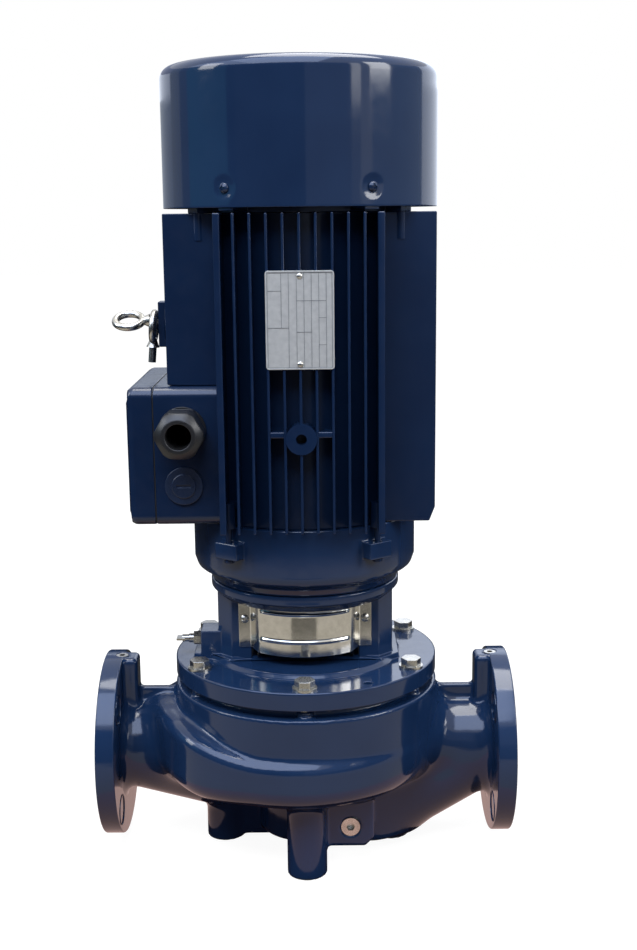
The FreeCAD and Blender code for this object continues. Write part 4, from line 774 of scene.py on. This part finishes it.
def guard(node, flip):
    """Coupling guard: its plan line carried up from the low to the high edge, and pushed out along its
    normal by two round beads that fade out at the folds; the tabs are a little lower than the arc."""
    plan = guard_plan()
    slope = np.gradient(plan, axis=0)
    normal = np.stack([slope[:, 1], -slope[:, 0]], 1) / np.linalg.norm(slope, axis=1)[:, None]
    fade = np.clip((GUARD_HALF - BEAD_HALF - np.abs(plan[:, 0])) / (2 * BEAD_HALF), 0, 1)
    height = np.linspace(GUARD_LOW, GUARD_HIGH, 92)
    rise = sum(BEAD_RISE * np.exp(-((height - z) / BEAD_HALF) ** 2) for z in BEADS)
    push = fade[None, :] * rise[:, None]
    x = plan[:, 0] + normal[:, 0] * push
    y = plan[:, 1] + normal[:, 1] * push
    inset = TAB_INSET * (np.abs(plan[:, 0]) > COLUMN_X - 1)
    tall = GUARD_HIGH - GUARD_LOW
    z = GUARD_LOW + inset + (height[:, None] - GUARD_LOW) / tall * (tall - 2 * inset)
    points = np.stack([x * flip, y * flip, z + 0 * x], -1).reshape(-1, 3)
    made = new_piece(node + "_sheet", points, grid_faces(len(height), len(plan)), "polished_stainless")
    thicken(made, GUARD_SHEET)
    rounded(made, 0.35, 2, 60)
    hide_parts(node)


# Printed table of the nameplate in millimetres from the plate's upper left corner
PLATE_LEFT = -32.5
PLATE_TOP = 632.5
PLATE_FRONT = -136.05
RULE_LIFT = 0.04
RULE_WIDE = 0.35
TABLE_LEFT, TABLE_RIGHT = 2.0, 63.0
TABLE_TOP, TABLE_LOW = 2.0, 91.0
UPRIGHT_RULES = [(x, TABLE_TOP, TABLE_LOW) for x in (TABLE_LEFT, 22.0, 36.5, 43.5, 50.5, 57.5, TABLE_RIGHT)]
UPRIGHT_RULES += [(15.0, TABLE_TOP, 53.5), (29.5, 8.0, 85.0)]
LEVEL_RULES = [(TABLE_TOP, TABLE_LEFT, TABLE_RIGHT), (TABLE_LOW, TABLE_LEFT, TABLE_RIGHT),
               (53.5, TABLE_LEFT, 22.0), (18.9, TABLE_LEFT, 15.0), (28.0, 29.5, 57.5), (57.5, 29.5, 43.5),
               (44.0, 50.5, 57.5), (69.5, 50.5, 57.5)]


def rule_bars():
    """Low and high corner of each rule on the plate's plane: X, and Z from the top down."""
    edge = RULE_WIDE / 2
    for x, start, end in UPRIGHT_RULES:
        yield (x - edge, end + edge), (x + edge, start - edge)
    for down, start, end in LEVEL_RULES:
        yield (start - edge, down + edge), (end + edge, down - edge)


def plate_rules():
    """The table's rules: each is a flat bar half sunk in the plate, a hair above it."""
    points, faces = [], []
    for (left, low), (right, high) in rule_bars():
        left, right, low, high = PLATE_LEFT + left, PLATE_LEFT + right, PLATE_TOP - low, PLATE_TOP - high
        start = len(points)
        for y in (PLATE_FRONT - RULE_LIFT, PLATE_FRONT + RULE_LIFT):
            points += [(left, y, low), (right, y, low), (right, y, high), (left, y, high)]
        sides = ((0, 1, 2, 3), (7, 6, 5, 4), (0, 4, 5, 1), (1, 5, 6, 2), (2, 6, 7, 3), (3, 7, 4, 0))
        faces += [[start + corner for corner in side] for side in sides]
    body = BODY_OF["nameplate"]
    made = new_piece("plate_rules", np.array(points), faces, "plate_aluminium", body, RULE_INK)
    flat_shading_kept(made)


def camera():
    """Camera at the photograph's place: aimed by pitch and yaw, then rolled about its own axis."""
    ahead = math.cos(CAMERA_PITCH)
    forward = Vector((math.sin(CAMERA_YAW) * ahead, math.cos(CAMERA_YAW) * ahead, math.sin(CAMERA_PITCH)))
    right = Vector((math.cos(CAMERA_YAW), -math.sin(CAMERA_YAW), 0))
    up = right.cross(forward)
    across = right * math.cos(CAMERA_ROLL) + up * math.sin(CAMERA_ROLL)
    rise = up * math.cos(CAMERA_ROLL) - right * math.sin(CAMERA_ROLL)
    data = bpy.data.cameras.new("camera")
    data.lens = CAMERA_LENS
    data.clip_start = CAMERA_NEAR
    made = bpy.data.objects.new("camera", data)
    bpy.context.scene.collection.objects.link(made)
    turn = Matrix((across, rise, -forward)).transposed()
    made.matrix_world = Matrix.Translation(CAMERA_PLACE) @ turn.to_4x4()
    bpy.context.scene.camera = made


# Studio in metres; angles in degrees from the front, the right side positive
TENT_R = 2.7
LOW_CARD_Z = 0.62
HIGH_CARD_Z = 1.9
FLOOR_HALF = 15.0
LIGHTS_AIM = (0, 0, 0.35)

# Glowing mats on the floor, seen only in gloss: they paint the floor's reflection with its light and shade,
# a painted shadow under the pump and a painted dark reflection in front. Columns: name, from and to angle,
# inner and outer radius, height, colour
# The first mat is painted shadow: a dark ring under the pump that stands for its shadow on the floor, seen
# in the gloss of the undersides
MATS = [("painted_shadow_under_pump", 0, 360, 0.0, 0.13, 0.0010, "#2a1c1e"),
        ("brown_mat", 0, 360, 0.13, 0.30, 0.0010, "#dcb9b1"),
        ("grey_mat", -110, 110, 0.30, 1.25, 0.0010, "#cbc5b9"),
        ("back_mat", 110, 250, 0.30, 1.25, 0.0010, "#4c4b49"),
        # painted reflection: a dark patch in front of the pump that the polished guard shows as a dark shape
        ("painted_dark_reflection_front", -21, 17, 0.82, 1.02, 0.0015, "#32322f"),
        ("far_floor", 60, 362, 1.25, TENT_R, 0.0010, "#2a2d35"),
        ("far_floor_right", 2, 60, 1.25, TENT_R, 0.0010, "#50586a")]

# Upright glowing cards round the pump, seen only in gloss, that paint the reflections of the room's light
# and shade: name, from and to angle, low and high edge, colour, strength
CARDS = [("low_cards", 110, 362, 0.0, LOW_CARD_Z, "#30333b", 1.0),
         ("low_cards_right", 2, 110, 0.0, LOW_CARD_Z, "#5d6678", 1.0),
         ("front_card_left", -50, 4, LOW_CARD_Z, HIGH_CARD_Z, "#3d424d", 1.0),
         ("front_card_right", 4, 42, LOW_CARD_Z, HIGH_CARD_Z, "#858d9d", 1.0),
         ("bright_card_right", 42, 50, 1.0, HIGH_CARD_Z, "#ffffff", 3.4),
         ("dark_card_right", 42, 50, LOW_CARD_Z, 1.0, "#a9b0bd", 1.0),
         ("pale_card_right", 50, 60, LOW_CARD_Z, HIGH_CARD_Z, "#dde2ec", 1.0),
         ("side_card_right", 60, 118, LOW_CARD_Z, HIGH_CARD_Z, "#a3b2ca", 1.0),
         ("back_card_right", 118, 180, LOW_CARD_Z, 1.05, "#dde5f4", 1.7),
         ("sky_card_right", 118, 180, 1.05, HIGH_CARD_Z, "#dde5f4", 2.6),
         ("dark_card_line", -58, -50, LOW_CARD_Z, HIGH_CARD_Z, "#23262c", 1.0),
         ("blue_card_left", -98, -58, LOW_CARD_Z, HIGH_CARD_Z, "#4c88a8", 1.0),
         ("side_card_left", -110, -98, LOW_CARD_Z, HIGH_CARD_Z, "#6a7078", 1.0),
         ("pale_card_left", -126, -110, LOW_CARD_Z, HIGH_CARD_Z, "#9fa5a8", 1.0),
         ("back_card_left", -180, -126, LOW_CARD_Z, 1.02, "#aab3c0", 1.0),
         ("sky_card_left", -180, -126, 1.02, 1.26, "#dde5f4", 1.6),
         ("high_card_left", -180, -126, 1.26, HIGH_CARD_Z, "#b0b4c4", 1.0)]

# Slanting glowing cards over the front, seen only in gloss, that paint the highlights on the enamel and
# metal: name, strength, corners
SKY_CODE = "#d3e1ff"
SKIES = [("sky_card_front", 5.0, [(-1.6, -2.2, 1.95), (0.65, -2.2, 1.95), (0.65, -0.4, 2.8),
                                  (-1.6, -0.4, 2.8)]),
         ("sky_card_left_side", 3.0, [(-2.5, -1.5, 1.95), (-1.6, -2.2, 1.95), (-1.6, -0.4, 2.8),
                                      (-2.5, 0.6, 1.95)])]

# Lights: name, place, size, watts, seen in gloss
LIGHTS = [("front_light", (-0.6, -1.7, 2.5), (2.2, 0.9), 64, False),
          ("left_light", (-2.2, -0.5, 1.7), (0.7, 1.2), 16, True),
          ("right_light", (2.2, -0.9, 1.6), (0.9, 1.2), 30, True),
          ("top_light", (0.2, 0.3, 2.7), (1.6, 1.6), 60, True)]


def area_light(name, place, size, power, in_gloss):
    """Rectangular soft light aimed at the pump, seen in gloss or not."""
    data = bpy.data.lights.new(name, "AREA")
    data.shape = "RECTANGLE"
    data.size, data.size_y = size
    data.energy = power
    made = bpy.data.objects.new(name, data)
    made.location = place
    made.rotation_mode = "QUATERNION"
    made.rotation_quaternion = (Vector(LIGHTS_AIM) - Vector(place)).to_track_quat("-Z", "Y")
    made.visible_glossy = in_gloss
    bpy.context.scene.collection.objects.link(made)


def stage_piece(name, points, faces, material):
    """Part of the studio, not of the pump."""
    mesh = bpy.data.meshes.new(name)
    mesh.from_pydata(points, [], faces)
    mesh.materials.append(material)
    made = bpy.data.objects.new(name, mesh)
    bpy.context.scene.collection.objects.link(made)
    return made


def glowing_card(name, points, faces, code, strength):
    """Evenly shining card that shows in gloss and metal, and neither lights nor shades anything else."""
    material = bpy.data.materials.new(name)
    tree = empty_tree(material)
    glow = add(tree, "Emission", {"Color": linear(code), "Strength": strength})
    add(tree, "OutputMaterial", {"Surface": glow.outputs[0]})
    made = stage_piece(name, points, faces, material)
    made.visible_camera = False
    made.visible_diffuse = False
    made.visible_shadow = False
    made.visible_transmission = False


def bent_card(name, start, end, steps, edges, code, strength=1.0):
    """Card between two edges, given as radius and height, carried round the pump axis."""
    angles = [math.radians(a) for a in np.linspace(start, end, steps + 1)]
    points = [(r * math.sin(a), -r * math.cos(a), z) for a in angles for r, z in edges]
    faces = [(2 * i, 2 * i + 1, 2 * i + 3, 2 * i + 2) for i in range(steps)]
    glowing_card(name, points, faces, code, strength)


def shown_as(tree, plain, shown):
    """The plain shader for light that falls on things, and the shown one for what the eye sees, directly or
    in metal and glass."""
    path = add(tree, "LightPath")
    seen = path.outputs["Is Camera Ray"]
    for ray in ("Is Glossy Ray", "Is Transmission Ray"):
        seen = add(tree, "Math", {0: seen, 1: path.outputs[ray]}, operation="MAXIMUM").outputs[0]
    return add(tree, "MixShader", {0: seen, 1: plain.outputs[0], 2: shown.outputs[0]}).outputs[0]


def surroundings():
    """White world: soft as a light, plain white to the eye."""
    world = bpy.data.worlds.new("studio")
    bpy.context.scene.world = world
    tree = empty_tree(world)
    soft = add(tree, "Background", {"Color": linear("#ffffff"), "Strength": 0.42})
    white = add(tree, "Background", {"Color": linear("#ffffff"), "Strength": 1.0})
    add(tree, "OutputWorld", {"Surface": shown_as(tree, soft, white)})


def white_floor():
    """Floor that looks white and keeps the pump's shadow, and throws a brownish light up at the castings."""
    material = bpy.data.materials.new("white_floor")
    tree = empty_tree(material)
    matt = add(tree, "BsdfDiffuse", {"Color": linear("#5f4a46")})
    pale = add(tree, "BsdfDiffuse", {"Color": linear("#7a7a7a")})
    glow = add(tree, "Emission", {"Color": linear("#ffffff"), "Strength": 0.94})
    both = add(tree, "AddShader", {0: pale.outputs[0], 1: glow.outputs[0]})
    add(tree, "OutputMaterial", {"Surface": shown_as(tree, matt, both)})
    half = FLOOR_HALF
    corners = [(-half, -half, 0), (half, -half, 0), (half, half, 0), (-half, half, 0)]
    stage_piece("floor", corners, [(0, 1, 2, 3)], material)


def studio():
    """White surroundings and floor, soft lights, and a tent of glowing cards round the pump, seen only in
    gloss, whose painted reflections of light and shade give the enamel and the polished steel their depth."""
    surroundings()
    white_floor()
    for name, start, end, inner, outer, height, code in MATS:
        bent_card(name, start, end, 48, ((inner, height), (outer, height)), code)
    for name, start, end, low, high, code, strength in CARDS:
        bent_card(name, start, end, 12, ((TENT_R, low), (TENT_R, high)), code, strength)
    for name, strength, corners in SKIES:
        glowing_card(name, corners, [(0, 1, 2, 3)], SKY_CODE, strength)
    for light in LIGHTS:
        area_light(*light)


# CAD nodes with softened edges: radius, and a look, slot or shortest edge of their own
SOFT_NODES = {
    "motor_frame": {"radius_mm": 1.15, "material": MOTOR_PAINT, "shortest_mm": 2.5},
    "upper_end_shield": {"radius_mm": 0.8, "material": MOTOR_PAINT},
    "lower_end_shield": {"radius_mm": 1.6},
    "terminal_box": {"radius_mm": 1.0, "material": MOTOR_PAINT},
    "terminal_box_cover": {"radius_mm": 1.0, "material": MOTOR_PAINT},
    "pump_head": {"radius_mm": 1.2},
    "head_bolts": {"radius_mm": 0.5},
    "gland_nut": {"radius_mm": 0.9},
    "gland_body": {"radius_mm": 0.5},
    "nameplate": {"radius_mm": 0.25, "material": PRINTED_PLATE},
    "blanking_plug": {"radius_mm": 0.6},
    "shield_bolts": {"radius_mm": 0.4, "material": MOTOR_PAINT, "slot": "navy_cast_paint"},
}

hood()
guard("guard_front", 1)
guard("guard_rear", -1)
plate_rules()
for node, look in SOFT_NODES.items():
    soften(node, **look)
casing()
camera()
studio()
bpy.context.scene.view_settings.view_transform = "Standard"
